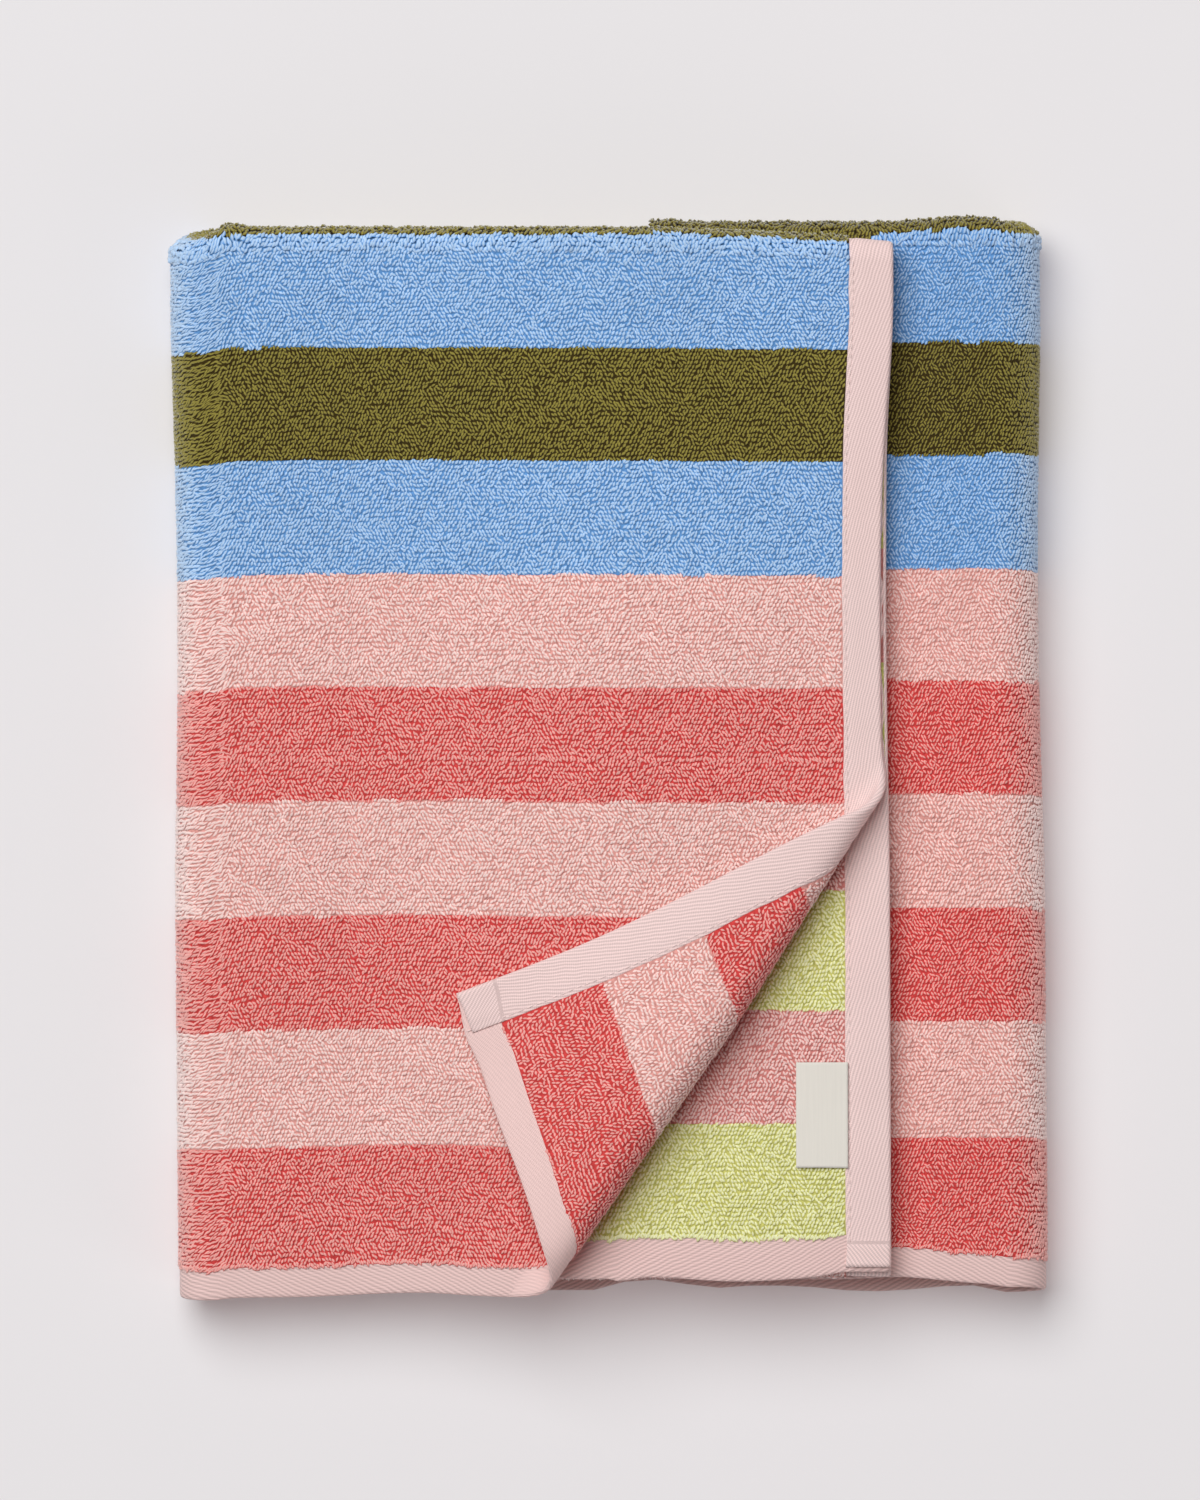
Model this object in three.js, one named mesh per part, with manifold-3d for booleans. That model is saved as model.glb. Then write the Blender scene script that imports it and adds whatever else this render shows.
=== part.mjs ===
// A bath towel, folded to four layers along its length and then in thirds across.
// One corner of the top layer is turned back and shows its reverse.
// Millimetres. +X runs to the right of the fold, +Y to the top fold, +Z up.
// The origin is under the middle of the folded towel, on the surface it lies on.

import * as THREE from 'three';
import Module from 'manifold-3d';

// Cloth
const layerPitch = 3.4;
const terryThickness = 3.0;
const hemThickness = 1.8;
const boundEdgeThickness = 1.2;
const faceHemWidth = 9.6;
const reverseHemWidth = 13.0;
const hemStep = 0.8;

// Binding tape, folded round both long edges
const tapeWidth = 14.6;
const tapeThickness = 0.6;
const clearance = 0.3;

// Label tab, sewn under the binding on the reverse
const labelLeft = 60.8;
const labelTop = -97.8;
const labelBottom = -132.3;
const labelThickness = 0.5;

// Folded size
const foldedWidth = 284;
const topFoldReach = 173.2;
const faceHemEnd = -174.5;
const reverseHemEnd = -168.4;
const bottomTurnReach = -170.4;
const topSelvage = 91.3;
const innerSelvage = 14;

// The top panel climbs over the stepped edges of the third folded in beneath it
const climbStart = -84;
const climbEnd = 6;
const climbEasing = 0.35;

// Places across each panel where the cloth has a line of points
const topPanelLines = [50, 28, 6, -10, -28, -48, -68, -84, -106];
const innerThirdLines = [0.3, 0.6, 0.85];
const bottomPanelSpans = 6;
const sideTurnSpans = 6;
const lengthSpans = 7;
const outerTopTurnSpans = 5;
const tightTurnSpans = 4;

// Turned-back corner: its fold runs from the bound edge to the hem
const cornerFoldStart = new THREE.Vector2(88.7, -12.7);
const cornerFoldEnd = new THREE.Vector2(-22.4, -173.2);
const cornerAxisInset = 7.0;
const rollRadiusStart = 5.5;
const rollRadiusFull = 8.5;
const rollGrowth = 100;
const flapShrink = 0.945;
const flapSettle = 62;
const flapLift = 3.7;
const rootDepth = 10;
const rootSpans = 2;
const rootInset = 0.3;
const flapTrim = 3.5;
const rollSpans = 6;
const flapSpans = 7;
const flapLines = 9;
const rollShare = 0.8;
const bindingClearOfFold = 14;

// Unevenness: how far the ends of the fold sit out of square, by place across the top panel
const topPanelShift = [
  { x: -142, top: -3.0, bottom: -0.7 },
  { x: -131, top: -1.0, bottom: -0.2 },
  { x: -121, top: 1.2, bottom: 0.4 },
  { x: -100, top: 0.6, bottom: 0.8 },
  { x: -58, top: 0.0, bottom: 2.0 },
  { x: -26, top: 0.0, bottom: 0.8 },
  { x: 92, top: -0.6, bottom: 0.8 },
];
const bottomPanelShift = { top: 0.4, bottom: 1.9 };
const innerThirdShift = { top: 2.0, bottom: 4.2 };

// The inner edge of each layer falls short of the one above, by place along the cloth
const innerEdgeSteps = [
  { place: 'face hem', step: 0 },
  { place: 'top turn', step: 0 },
  { place: 'fourth layer', step: -64 },
  { place: 'bottom turn', step: -50 },
  { place: 'third layer', step: -43 },
  { place: 'inner top turn', step: 0 },
  { place: 'second layer', step: -21 },
  { place: 'reverse hem', step: -21 },
];
const edgeStepEasing = 80;

// Slow swell of the stack, its narrowest place and the lean of its sides
const swell = { share: 0.02, across: 190, along: 260, startX: -40, startY: 30 };
const waist = { pinch: 0.01, place: 0.3 };
const sideLean = 1.4;

const terryColour = '#dc8f88';
const tapeColour = '#e1c8c5';
const labelColour = '#d9d1c7';

// Worked out from the sizes above
const halfTerry = terryThickness / 2;
const halfHem = hemThickness / 2;
const halfBound = boundEdgeThickness / 2;
const stackHeight = 4 * layerPitch;
const stackHalf = stackHeight / 2;
const outerLayerReach = stackHalf - layerPitch / 2 + halfTerry;
const turnRadius = stackHalf;
const turnX = foldedWidth / 2 - turnRadius - outerLayerReach;
const topTurnY = topFoldReach - 1.5 * layerPitch - halfTerry;
const bottomTurnY = bottomTurnReach + 0.5 * layerPitch + halfTerry;
const halfLength = (topFoldReach - faceHemEnd) / 2;
const terryEdgeInset = tapeThickness + clearance;
const boundWidth = tapeWidth + clearance;
const boundStep = 0.6;
const underside = stackHalf - outerLayerReach;
const rollEnd = Math.PI * rollRadiusFull;
const layerHeights = {
  first: 1.5 * layerPitch,
  second: 0.5 * layerPitch,
  third: -0.5 * layerPitch,
  fourth: -1.5 * layerPitch,
};

const foldDirection = cornerFoldEnd.clone().sub(cornerFoldStart).normalize();
const foldOutward = new THREE.Vector2(-foldDirection.y, foldDirection.x);
const foldLength = cornerFoldEnd.distanceTo(cornerFoldStart);
const axisStart = cornerFoldStart.clone().addScaledVector(foldOutward, -cornerAxisInset);

const wasm = await Module();
wasm.setup();

function clamp01(value) {
  return Math.min(1, Math.max(0, value));
}

function smooth(value) {
  const f = clamp01(value);
  return f * f * (3 - 2 * f);
}

// Evenly spaced places between two ends, without the ends
function placesBetween(from, to, spans) {
  const places = [];
  for (let i = 1; i < spans; i += 1) places.push(from + ((to - from) * i) / spans);
  return places;
}

// Straight-line reading of a short table
function readTable(rows, key, at, value) {
  if (at <= rows[0][key]) return rows[0][value];
  for (let i = 1; i < rows.length; i += 1) {
    if (at <= rows[i][key]) {
      const f = (at - rows[i - 1][key]) / (rows[i][key] - rows[i - 1][key]);
      return rows[i - 1][value] + f * (rows[i][value] - rows[i - 1][value]);
    }
  }
  return rows[rows.length - 1][value];
}

// Height of the middle of the top panel's stack, over the third beneath it and beside it
function topPanelHeight(x) {
  const f = clamp01((x - climbStart) / (climbEnd - climbStart));
  const eased = (1 - climbEasing) * f + climbEasing * smooth(f);
  return 3 * stackHalf + stackHeight * eased;
}

function topPanelSlope(x) {
  const step = 1;
  return (topPanelHeight(x + step) - topPanelHeight(x - step)) / (2 * step);
}

// A column is one place across the fold: the middle of the stack and its outward normal
function topColumn(x) {
  const slope = topPanelSlope(x);
  const size = Math.hypot(1, slope);
  return { x, z: topPanelHeight(x), nx: -slope / size, nz: 1 / size, panel: 'top' };
}

function turnColumn(side, angle) {
  const s = Math.sin(angle);
  const c = Math.cos(angle);
  const share = angle / Math.PI;
  return {
    x: side * (turnX + turnRadius * s),
    z: 2 * stackHalf + turnRadius * c,
    nx: side * s,
    nz: c,
    panel: side < 0 ? 'left turn' : 'right turn',
    share,
  };
}

function bottomColumn(x) {
  return { x, z: stackHalf, nx: 0, nz: -1, panel: 'bottom' };
}

// Columns of the third folded in are placed by their distance from its own bound edge
function innerColumn(fromEdge, share) {
  return { x: turnX, z: 3 * stackHalf, nx: 0, nz: 1, panel: 'inner', fromEdge, share };
}

function thirdsSection() {
  const columns = [];
  const bound = topSelvage - boundWidth;
  const edgeLines = [topSelvage - terryEdgeInset, bound, bound - boundStep];
  for (const x of [...edgeLines, ...topPanelLines]) columns.push(topColumn(x));
  for (let i = 0; i <= sideTurnSpans; i += 1) {
    columns.push(turnColumn(-1, (Math.PI * i) / sideTurnSpans));
  }
  for (const x of placesBetween(-turnX, turnX, bottomPanelSpans)) columns.push(bottomColumn(x));
  for (let i = sideTurnSpans; i >= 0; i -= 1) {
    columns.push(turnColumn(1, (Math.PI * i) / sideTurnSpans));
  }
  for (const share of innerThirdLines) columns.push(innerColumn(boundWidth + boundStep, share));
  columns.push(innerColumn(boundWidth + boundStep, 1));
  columns.push(innerColumn(boundWidth, 1));
  columns.push(innerColumn(terryEdgeInset, 1));
  return columns;
}

// A row is one place along the cloth: y, height in the stack, the normal of its face,
// half the thickness, and how far the inner edge steps back
function layerRow(y, layer, faceUp, half, step) {
  return { y, w: layerHeights[layer], ny: 0, nw: faceUp ? 1 : -1, half, step };
}

// Rows round a turn between two layers. reach is +1 at the top and -1 at the bottom end,
// rise is +1 where the path climbs and -1 where it drops, and face is +1 where the
// face lies on the outside of the turn
function turnRows({ spans, y, w, radius, reach, rise, face, step }) {
  const rows = [];
  for (let i = 0; i <= spans; i += 1) {
    const angle = (Math.PI * i) / spans;
    const out = Math.sin(angle) * reach;
    const up = Math.cos(angle) * -rise;
    rows.push({
      y: y + radius * out,
      w: w + radius * up,
      ny: face * out,
      nw: face * up,
      half: halfTerry,
      step,
    });
  }
  return rows;
}

function stepAt(place) {
  return innerEdgeSteps.find((row) => row.place === place).step;
}

// Inner edge of one layer between two turns: it keeps its own step and eases into each turn
function panelStep(y, topPlace, ownPlace, bottomPlace) {
  const own = stepAt(ownPlace);
  const toTop = 1 - smooth((topTurnY - y) / edgeStepEasing);
  const toBottom = 1 - smooth((y - bottomTurnY) / edgeStepEasing);
  return own + (stepAt(topPlace) - own) * toTop + (stepAt(bottomPlace) - own) * toBottom;
}

function firstLayerRows() {
  const terryStart = faceHemEnd + faceHemWidth;
  const step = stepAt('face hem');
  return [
    layerRow(faceHemEnd, 'first', true, halfHem, step),
    layerRow(terryStart, 'first', true, halfHem, step),
    layerRow(terryStart + hemStep, 'first', true, halfTerry, step),
    ...placesBetween(terryStart + hemStep, topTurnY, lengthSpans).map((y) => {
      return layerRow(y, 'first', true, halfTerry, step);
    }),
  ];
}

function fourthLayerRows() {
  return placesBetween(topTurnY, bottomTurnY, lengthSpans).map((y) => {
    const step = panelStep(y, 'top turn', 'fourth layer', 'bottom turn');
    return layerRow(y, 'fourth', false, halfTerry, step);
  });
}

function thirdLayerRows() {
  return placesBetween(bottomTurnY, topTurnY, lengthSpans).map((y) => {
    const step = panelStep(y, 'inner top turn', 'third layer', 'bottom turn');
    return layerRow(y, 'third', true, halfTerry, step);
  });
}

function secondLayerRows() {
  const terryEnd = reverseHemEnd + reverseHemWidth;
  const hemEdge = stepAt('reverse hem');
  return [
    ...placesBetween(topTurnY, terryEnd + hemStep, lengthSpans).map((y) => {
      const step = stepAt('second layer') * smooth((topTurnY - y) / edgeStepEasing);
      return layerRow(y, 'second', false, halfTerry, step);
    }),
    layerRow(terryEnd + hemStep, 'second', false, halfTerry, hemEdge),
    layerRow(terryEnd, 'second', false, halfHem, hemEdge),
    layerRow(reverseHemEnd, 'second', false, halfHem, hemEdge),
  ];
}

// The cloth from its face hem to its reverse hem, through all four layers
function clothRows() {
  const tightTurn = { spans: tightTurnSpans, radius: 0.5 * layerPitch };
  const topTurn = {
    spans: outerTopTurnSpans,
    radius: 1.5 * layerPitch,
    y: topTurnY,
    w: 0,
    reach: 1,
    rise: -1,
    face: 1,
    step: stepAt('top turn'),
  };
  const bottomTurn = {
    ...tightTurn,
    y: bottomTurnY,
    w: -layerPitch,
    reach: -1,
    rise: 1,
    face: 1,
    step: stepAt('bottom turn'),
  };
  const innerTopTurn = {
    ...tightTurn,
    y: topTurnY,
    w: 0,
    reach: 1,
    rise: 1,
    face: -1,
    step: stepAt('inner top turn'),
  };
  return [
    ...firstLayerRows(),
    ...turnRows(topTurn),
    ...fourthLayerRows(),
    ...turnRows(bottomTurn),
    ...thirdLayerRows(),
    ...turnRows(innerTopTurn),
    ...secondLayerRows(),
  ];
}

// How far the end of a panel sits out of square
function shiftOf(column, x, end) {
  if (column.panel === 'bottom') return bottomPanelShift[end];
  if (column.panel === 'inner') return innerThirdShift[end];
  if (column.panel === 'left turn') {
    const start = readTable(topPanelShift, 'x', -turnX - turnRadius, end);
    return start + (bottomPanelShift[end] - start) * smooth(column.share);
  }
  if (column.panel === 'right turn') {
    return innerThirdShift[end] + (bottomPanelShift[end] - innerThirdShift[end]) * smooth(column.share);
  }
  return readTable(topPanelShift, 'x', x, end);
}

function shiftedY(column, x, y) {
  const f = clamp01((topTurnY - y) / (topTurnY - faceHemEnd));
  return y + shiftOf(column, x, 'top') * (1 - f) + shiftOf(column, x, 'bottom') * f;
}

// The unevenness is a change of the whole space, so what lies apart stays apart
function settle(x, y, z) {
  const across = Math.sin((2 * Math.PI * (x - swell.startX)) / swell.across);
  const along = Math.cos((2 * Math.PI * (y - swell.startY)) / swell.along);
  const height = (z - underside) * (1 + swell.share * across * along);
  const place = y / halfLength;
  const pinch = 1 - waist.pinch * Math.max(0, Math.cos(Math.PI * (place - waist.place)));
  const lean = sideLean * place * (x / (foldedWidth / 2)) ** 2;
  return new THREE.Vector3(x * pinch - lean, y, height);
}

// Place of a column on a row: inner-third columns stretch from the turn to their bound edge
function columnX(column, row) {
  if (column.panel !== 'inner') return column.x;
  const edge = innerSelvage + row.step + column.fromEdge;
  return turnX + (edge - turnX) * column.share;
}

function sheetPoint(column, row, offset) {
  const w = row.w + offset * row.nw;
  const y = row.y + offset * row.ny;
  const x = columnX(column, row) + w * column.nx;
  const z = column.z + w * column.nz;
  return settle(x, shiftedY(column, x, y), z);
}

function clothHalf(column, row) {
  const fromTopEdge = column.panel === 'top' ? topSelvage - column.x : Infinity;
  const fromInnerEdge = column.panel === 'inner' && column.share === 1 ? column.fromEdge : Infinity;
  const bound = Math.min(fromTopEdge, fromInnerEdge) < boundWidth + boundStep / 2;
  return bound ? halfBound : row.half;
}

// Indexed mesh builder
class Shell {
  constructor() {
    this.points = [];
    this.faces = [];
  }

  add(point) {
    this.points.push(point);
    return this.points.length - 1;
  }

  quad(a, b, c, d) {
    this.faces.push([a, b, c], [a, c, d]);
  }

  geometry() {
    const positions = new Float32Array(this.points.length * 3);
    this.points.forEach((point, i) => point.toArray(positions, i * 3));
    let volume = 0;
    for (const [a, b, c] of this.faces) {
      volume += this.points[a].dot(this.points[b].clone().cross(this.points[c]));
    }
    const outward = volume > 0 ? this.faces : this.faces.map(([a, b, c]) => [a, c, b]);
    const geometry = new THREE.BufferGeometry();
    geometry.setAttribute('position', new THREE.BufferAttribute(positions, 3));
    geometry.setIndex(outward.flat());
    return geometry;
  }
}

// Closed sheet from a grid of points on its two sides
function closedSheet(rowCount, columnCount, pointAt) {
  const shell = new Shell();
  const sides = [1, -1].map((side) => {
    const grid = [];
    for (let i = 0; i < rowCount; i += 1) {
      const line = [];
      for (let j = 0; j < columnCount; j += 1) line.push(shell.add(pointAt(i, j, side)));
      grid.push(line);
    }
    return grid;
  });
  const [upper, lower] = sides;
  for (let i = 0; i + 1 < rowCount; i += 1) {
    for (let j = 0; j + 1 < columnCount; j += 1) {
      shell.quad(upper[i][j], upper[i][j + 1], upper[i + 1][j + 1], upper[i + 1][j]);
      shell.quad(lower[i][j], lower[i + 1][j], lower[i + 1][j + 1], lower[i][j + 1]);
    }
  }
  const lastRow = rowCount - 1;
  const lastColumn = columnCount - 1;
  for (let j = 0; j < lastColumn; j += 1) {
    shell.quad(upper[0][j + 1], upper[0][j], lower[0][j], lower[0][j + 1]);
    shell.quad(upper[lastRow][j], upper[lastRow][j + 1], lower[lastRow][j + 1], lower[lastRow][j]);
  }
  for (let i = 0; i < lastRow; i += 1) {
    const next = i + 1;
    shell.quad(upper[i][0], upper[next][0], lower[next][0], lower[i][0]);
    shell.quad(upper[next][lastColumn], upper[i][lastColumn], lower[i][lastColumn], lower[next][lastColumn]);
  }
  return shell.geometry();
}

function areaSign(corners) {
  return Math.sign(THREE.ShapeUtils.area(corners));
}

// Closed bar: one outline carried through many rows, with a flat end on each
function closedBar(rowCount, outline, pointAt) {
  const shell = new Shell();
  const rings = [];
  for (let i = 0; i < rowCount; i += 1) {
    rings.push(outline.map((corner) => shell.add(pointAt(i, corner))));
  }
  const count = outline.length;
  for (let i = 0; i + 1 < rowCount; i += 1) {
    for (let k = 0; k < count; k += 1) {
      const next = (k + 1) % count;
      if (outline[next].a > outline[k].a) {
        shell.quad(rings[i][next], rings[i + 1][next], rings[i + 1][k], rings[i][k]);
      } else {
        shell.quad(rings[i][k], rings[i][next], rings[i + 1][next], rings[i + 1][k]);
      }
    }
  }
  const contour = outline.map((corner) => new THREE.Vector2(corner.a, corner.h));
  const first = rings[0];
  const last = rings[rowCount - 1];
  for (const face of THREE.ShapeUtils.triangulateShape(contour, [])) {
    const sameWay = areaSign(face.map((k) => contour[k])) === areaSign(contour);
    const [a, b, c] = sameWay ? face : [...face].reverse();
    shell.faces.push([first[a], first[c], first[b]], [last[a], last[b], last[c]]);
  }
  return shell.geometry();
}

function toManifold(geometry) {
  const vertProperties = Float32Array.from(geometry.attributes.position.array);
  const triVerts = Uint32Array.from(geometry.index.array);
  return new wasm.Manifold(new wasm.Mesh({ numProp: 3, vertProperties, triVerts }));
}

function fromManifold(solid) {
  const mesh = solid.getMesh();
  const geometry = new THREE.BufferGeometry();
  geometry.setAttribute('position', new THREE.BufferAttribute(Float32Array.from(mesh.vertProperties), 3));
  geometry.setIndex(Array.from(mesh.triVerts));
  return geometry;
}

const columns = thirdsSection();
const rows = clothRows();
const topColumns = columns.filter((column) => column.panel === 'top');

// Middle of the top layer, read off the same columns as the cloth
function topLayerHeight(x) {
  const w = layerHeights.first;
  const line = topColumns.map((column) => ({ x: column.x + w * column.nx, z: column.z + w * column.nz }));
  line.reverse();
  return readTable(line, 'x', x, 'z');
}

// Distance past the corner's fold axis of a point of the top layer laid flat
function pastAxis(x, y) {
  return (x - axisStart.x) * foldOutward.x + (y - axisStart.y) * foldOutward.y;
}

// The y of the top layer laid flat, at a given x and distance past the axis
function flatY(x, past) {
  return axisStart.y + (past - (x - axisStart.x) * foldOutward.x) / foldOutward.y;
}

// The fold is tight at the bound edge and grows fuller along its length
function rollRadius(along) {
  return rollRadiusStart + (rollRadiusFull - rollRadiusStart) * smooth(along / rollGrowth);
}

function flapHeight(back, radius) {
  const drop = smooth(back / flapSettle);
  return 2 * radius + (flapLift - 2 * radius) * drop;
}

// Carries a point of the flat top layer over the corner's fold
function turnedPoint(x, y, offset) {
  const past = pastAxis(x, y);
  const along = (x - axisStart.x) * foldDirection.x + (y - axisStart.y) * foldDirection.y;
  const radius = rollRadius(along);
  let out = past;
  let lift = offset;
  if (past > 0 && past < Math.PI * radius) {
    const angle = past / radius;
    out = (radius - offset) * Math.sin(angle);
    lift = radius - (radius - offset) * Math.cos(angle);
  } else if (past > 0) {
    const back = (past - Math.PI * radius) * flapShrink;
    const slope = (flapHeight(back + 1, radius) - flapHeight(Math.max(0, back - 1), radius)) / 2;
    const size = Math.hypot(1, slope);
    out = -back - (slope / size) * offset;
    lift = flapHeight(back, radius) - offset / size;
  }
  const planX = axisStart.x + foldDirection.x * along + foldOutward.x * out;
  const planY = axisStart.y + foldDirection.y * along + foldOutward.y * out;
  return settle(planX, shiftedY({ panel: 'top' }, planX, planY), topLayerHeight(planX) + lift);
}

// Distance past the axis of the hem's end, at a place across the cloth
function hemPast(x) {
  return pastAxis(x, faceHemEnd);
}

// Rows of the corner: fixed steps round the roll, then even steps to the hem
function cornerPast(x, index) {
  const end = hemPast(x);
  const rollReach = Math.min(rollEnd, rollShare * end);
  if (index <= rollSpans) return (rollReach * index) / rollSpans;
  return rollReach + ((end - rollReach) * (index - rollSpans)) / flapSpans;
}

// The corner starts as a thinner root inside the top layer, then turns over its fold
function cornerFlap() {
  const bound = topSelvage - boundWidth;
  const farX = axisStart.x + (faceHemEnd - axisStart.y) * (foldDirection.x / foldDirection.y);
  const terryFrom = bound - boundStep;
  const terryTo = farX + flapTrim;
  const lines = [
    topSelvage - terryEdgeInset - rootInset,
    bound,
    terryFrom,
    ...placesBetween(terryFrom, terryTo, flapLines),
    terryTo,
  ];
  const rowCount = rootSpans + rollSpans + flapSpans + 1;
  return closedSheet(rowCount, lines.length, (i, j, side) => {
    const x = lines[j];
    const inRoot = i <= rootSpans;
    const past = inRoot ? (rootDepth * (i - rootSpans)) / rootSpans : cornerPast(x, i - rootSpans);
    const y = flatY(x, past);
    const intoTerry = smooth((y - faceHemEnd - faceHemWidth) / (4 * hemStep));
    const open = halfHem + (halfTerry - halfHem) * intoTerry;
    const half = x > bound - boundStep / 2 ? halfBound : open;
    return turnedPoint(x, y, side * (inRoot ? half - rootInset : half));
  });
}

// All that lies past the corner's fold axis, as one tall block
function pastAxisBlock() {
  const reach = 2 * foldLength;
  const corners = [
    { along: -reach, past: 0 },
    { along: reach, past: 0 },
    { along: reach, past: reach },
    { along: -reach, past: reach },
  ];
  const shell = new Shell();
  for (const z of [0, 4 * stackHeight]) {
    for (const { along, past } of corners) {
      const x = axisStart.x + foldDirection.x * along + foldOutward.x * past;
      const y = axisStart.y + foldDirection.y * along + foldOutward.y * past;
      shell.add(new THREE.Vector3(x, y, z));
    }
  }
  shell.quad(0, 3, 2, 1);
  shell.quad(4, 5, 6, 7);
  for (let k = 0; k < 4; k += 1) {
    const next = (k + 1) % 4;
    shell.quad(k, next, 4 + next, 4 + k);
  }
  return shell.geometry();
}

// Space that the turned-back corner leaves empty in the top layer. Its floor runs
// midway between the top layer and the next, on the cloth's own lines
function cornerSpace() {
  const margin = 12;
  const leftEnd = cornerFoldEnd.x - 2 * margin;
  const lines = [topColumn(topSelvage + margin), ...topColumns.filter((column) => column.x > leftEnd)];
  const places = [faceHemEnd - margin, ...firstLayerRows().map((row) => row.y)];
  const slab = closedSheet(places.length, lines.length, (i, j, side) => {
    const w = side > 0 ? 3 * stackHalf : layerPitch;
    const column = lines[j];
    const x = column.x + w * column.nx;
    return settle(x, shiftedY(column, x, places[i]), column.z + w * column.nz);
  });
  return toManifold(slab).intersect(toManifold(pastAxisBlock()));
}

function terryCloth() {
  const cloth = closedSheet(rows.length, columns.length, (i, j, side) => {
    return sheetPoint(columns[j], rows[i], side * clothHalf(columns[j], rows[i]));
  });
  const opened = toManifold(cloth).subtract(cornerSpace());
  return fromManifold(opened.add(toManifold(cornerFlap())));
}

// Outline of the folded tape: a is the distance in from the bound edge, h the height
function tapeOutline() {
  const half = halfTerry;
  const inner = half - tapeThickness;
  const nose = 0.5;
  return [
    { a: tapeWidth, h: half },
    { a: nose, h: half },
    { a: 0, h: half - nose },
    { a: 0, h: nose - half },
    { a: nose, h: -half },
    { a: tapeWidth, h: -half },
    { a: tapeWidth, h: -inner },
    { a: tapeThickness, h: -inner },
    { a: tapeThickness, h: inner },
    { a: tapeWidth, h: inner },
  ];
}

// Outer binding: over the turned-back corner with the cloth, then along every layer's edge
function outerBinding() {
  const stations = [];
  for (let index = rollSpans + flapSpans; index >= 0; index -= 1) {
    stations.push((corner) => {
      const x = topSelvage - corner.a;
      return turnedPoint(x, flatY(x, cornerPast(x, index)), corner.h);
    });
  }
  const flatStart = rows.findIndex((row) => row.y > cornerFoldStart.y + bindingClearOfFold);
  for (const row of rows.slice(flatStart)) {
    stations.push((corner) => sheetPoint(topColumn(topSelvage - corner.a), row, corner.h));
  }
  return closedBar(stations.length, tapeOutline(), (i, corner) => stations[i](corner));
}

// Inner binding: hidden in the fold, on the edge of the third folded in first
function innerBinding() {
  return closedBar(rows.length, tapeOutline(), (i, corner) => {
    return sheetPoint(innerColumn(corner.a, 1), rows[i], corner.h);
  });
}

// Label tab: on the reverse of the second layer, with its sewn edge at the binding
function labelTab() {
  const surface = layerHeights.second + halfTerry + clearance;
  const right = topSelvage - tapeWidth - clearance;
  const xPlaces = [labelLeft, ...placesBetween(labelLeft, right, 2), right];
  const yPlaces = [labelTop, ...placesBetween(labelTop, labelBottom, 3), labelBottom];
  return closedSheet(yPlaces.length, xPlaces.length, (i, j, side) => {
    const w = side > 0 ? surface + labelThickness : surface;
    const column = topColumn(xPlaces[j]);
    return settle(column.x, shiftedY(column, column.x, yPlaces[i]), column.z + w);
  });
}

function finish(colour, roughness) {
  return new THREE.MeshStandardMaterial({ color: colour, roughness, metalness: 0 });
}

const pieces = [
  { name: 'terry_cloth', geometry: terryCloth(), material: finish(terryColour, 0.95) },
  { name: 'outer_binding', geometry: outerBinding(), material: finish(tapeColour, 0.8) },
  { name: 'inner_binding', geometry: innerBinding(), material: finish(tapeColour, 0.8) },
  { name: 'label_tab', geometry: labelTab(), material: finish(labelColour, 0.7) },
];

const group = new THREE.Group();
for (const piece of pieces) {
  piece.geometry.computeVertexNormals();
  const mesh = new THREE.Mesh(piece.geometry, piece.material);
  mesh.name = piece.name;
  group.add(mesh);
}

// Stand the towel on its own underside, centred on the origin
group.updateMatrixWorld(true);
const extent = new THREE.Box3().setFromObject(group);
const middle = extent.getCenter(new THREE.Vector3());
group.position.set(-middle.x, -middle.y, -extent.min.z);
group.updateMatrixWorld(true);

export default group;
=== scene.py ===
from collections import namedtuple

import bmesh
import bpy
import numpy as np
from bpy.props import FloatProperty, FloatVectorProperty, PointerProperty
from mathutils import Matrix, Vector


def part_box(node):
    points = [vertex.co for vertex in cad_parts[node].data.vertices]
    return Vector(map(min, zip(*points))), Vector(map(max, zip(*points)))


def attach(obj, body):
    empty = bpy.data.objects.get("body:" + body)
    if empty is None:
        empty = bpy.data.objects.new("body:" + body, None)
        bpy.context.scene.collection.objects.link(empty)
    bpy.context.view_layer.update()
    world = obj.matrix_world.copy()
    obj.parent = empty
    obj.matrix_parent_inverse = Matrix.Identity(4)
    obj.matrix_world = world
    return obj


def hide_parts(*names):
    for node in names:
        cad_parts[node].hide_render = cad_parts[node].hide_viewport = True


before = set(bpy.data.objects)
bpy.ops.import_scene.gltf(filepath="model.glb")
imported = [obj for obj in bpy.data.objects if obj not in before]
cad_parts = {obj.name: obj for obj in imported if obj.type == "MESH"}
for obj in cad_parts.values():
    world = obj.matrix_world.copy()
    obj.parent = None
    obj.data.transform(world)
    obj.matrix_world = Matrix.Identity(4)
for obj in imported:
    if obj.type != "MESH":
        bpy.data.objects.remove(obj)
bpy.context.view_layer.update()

bl_info = {
    "name": "Folded bath towel",
    "version": (1, 0, 0),
    "blender": (4, 5, 0),
    "location": "3D View > Sidebar > Towel",
    "description": "Builds a folded terry bath towel with its bindings, hems and label tab",
    "category": "Add Mesh",
}

SEED = 27
MM = 0.001

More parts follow.
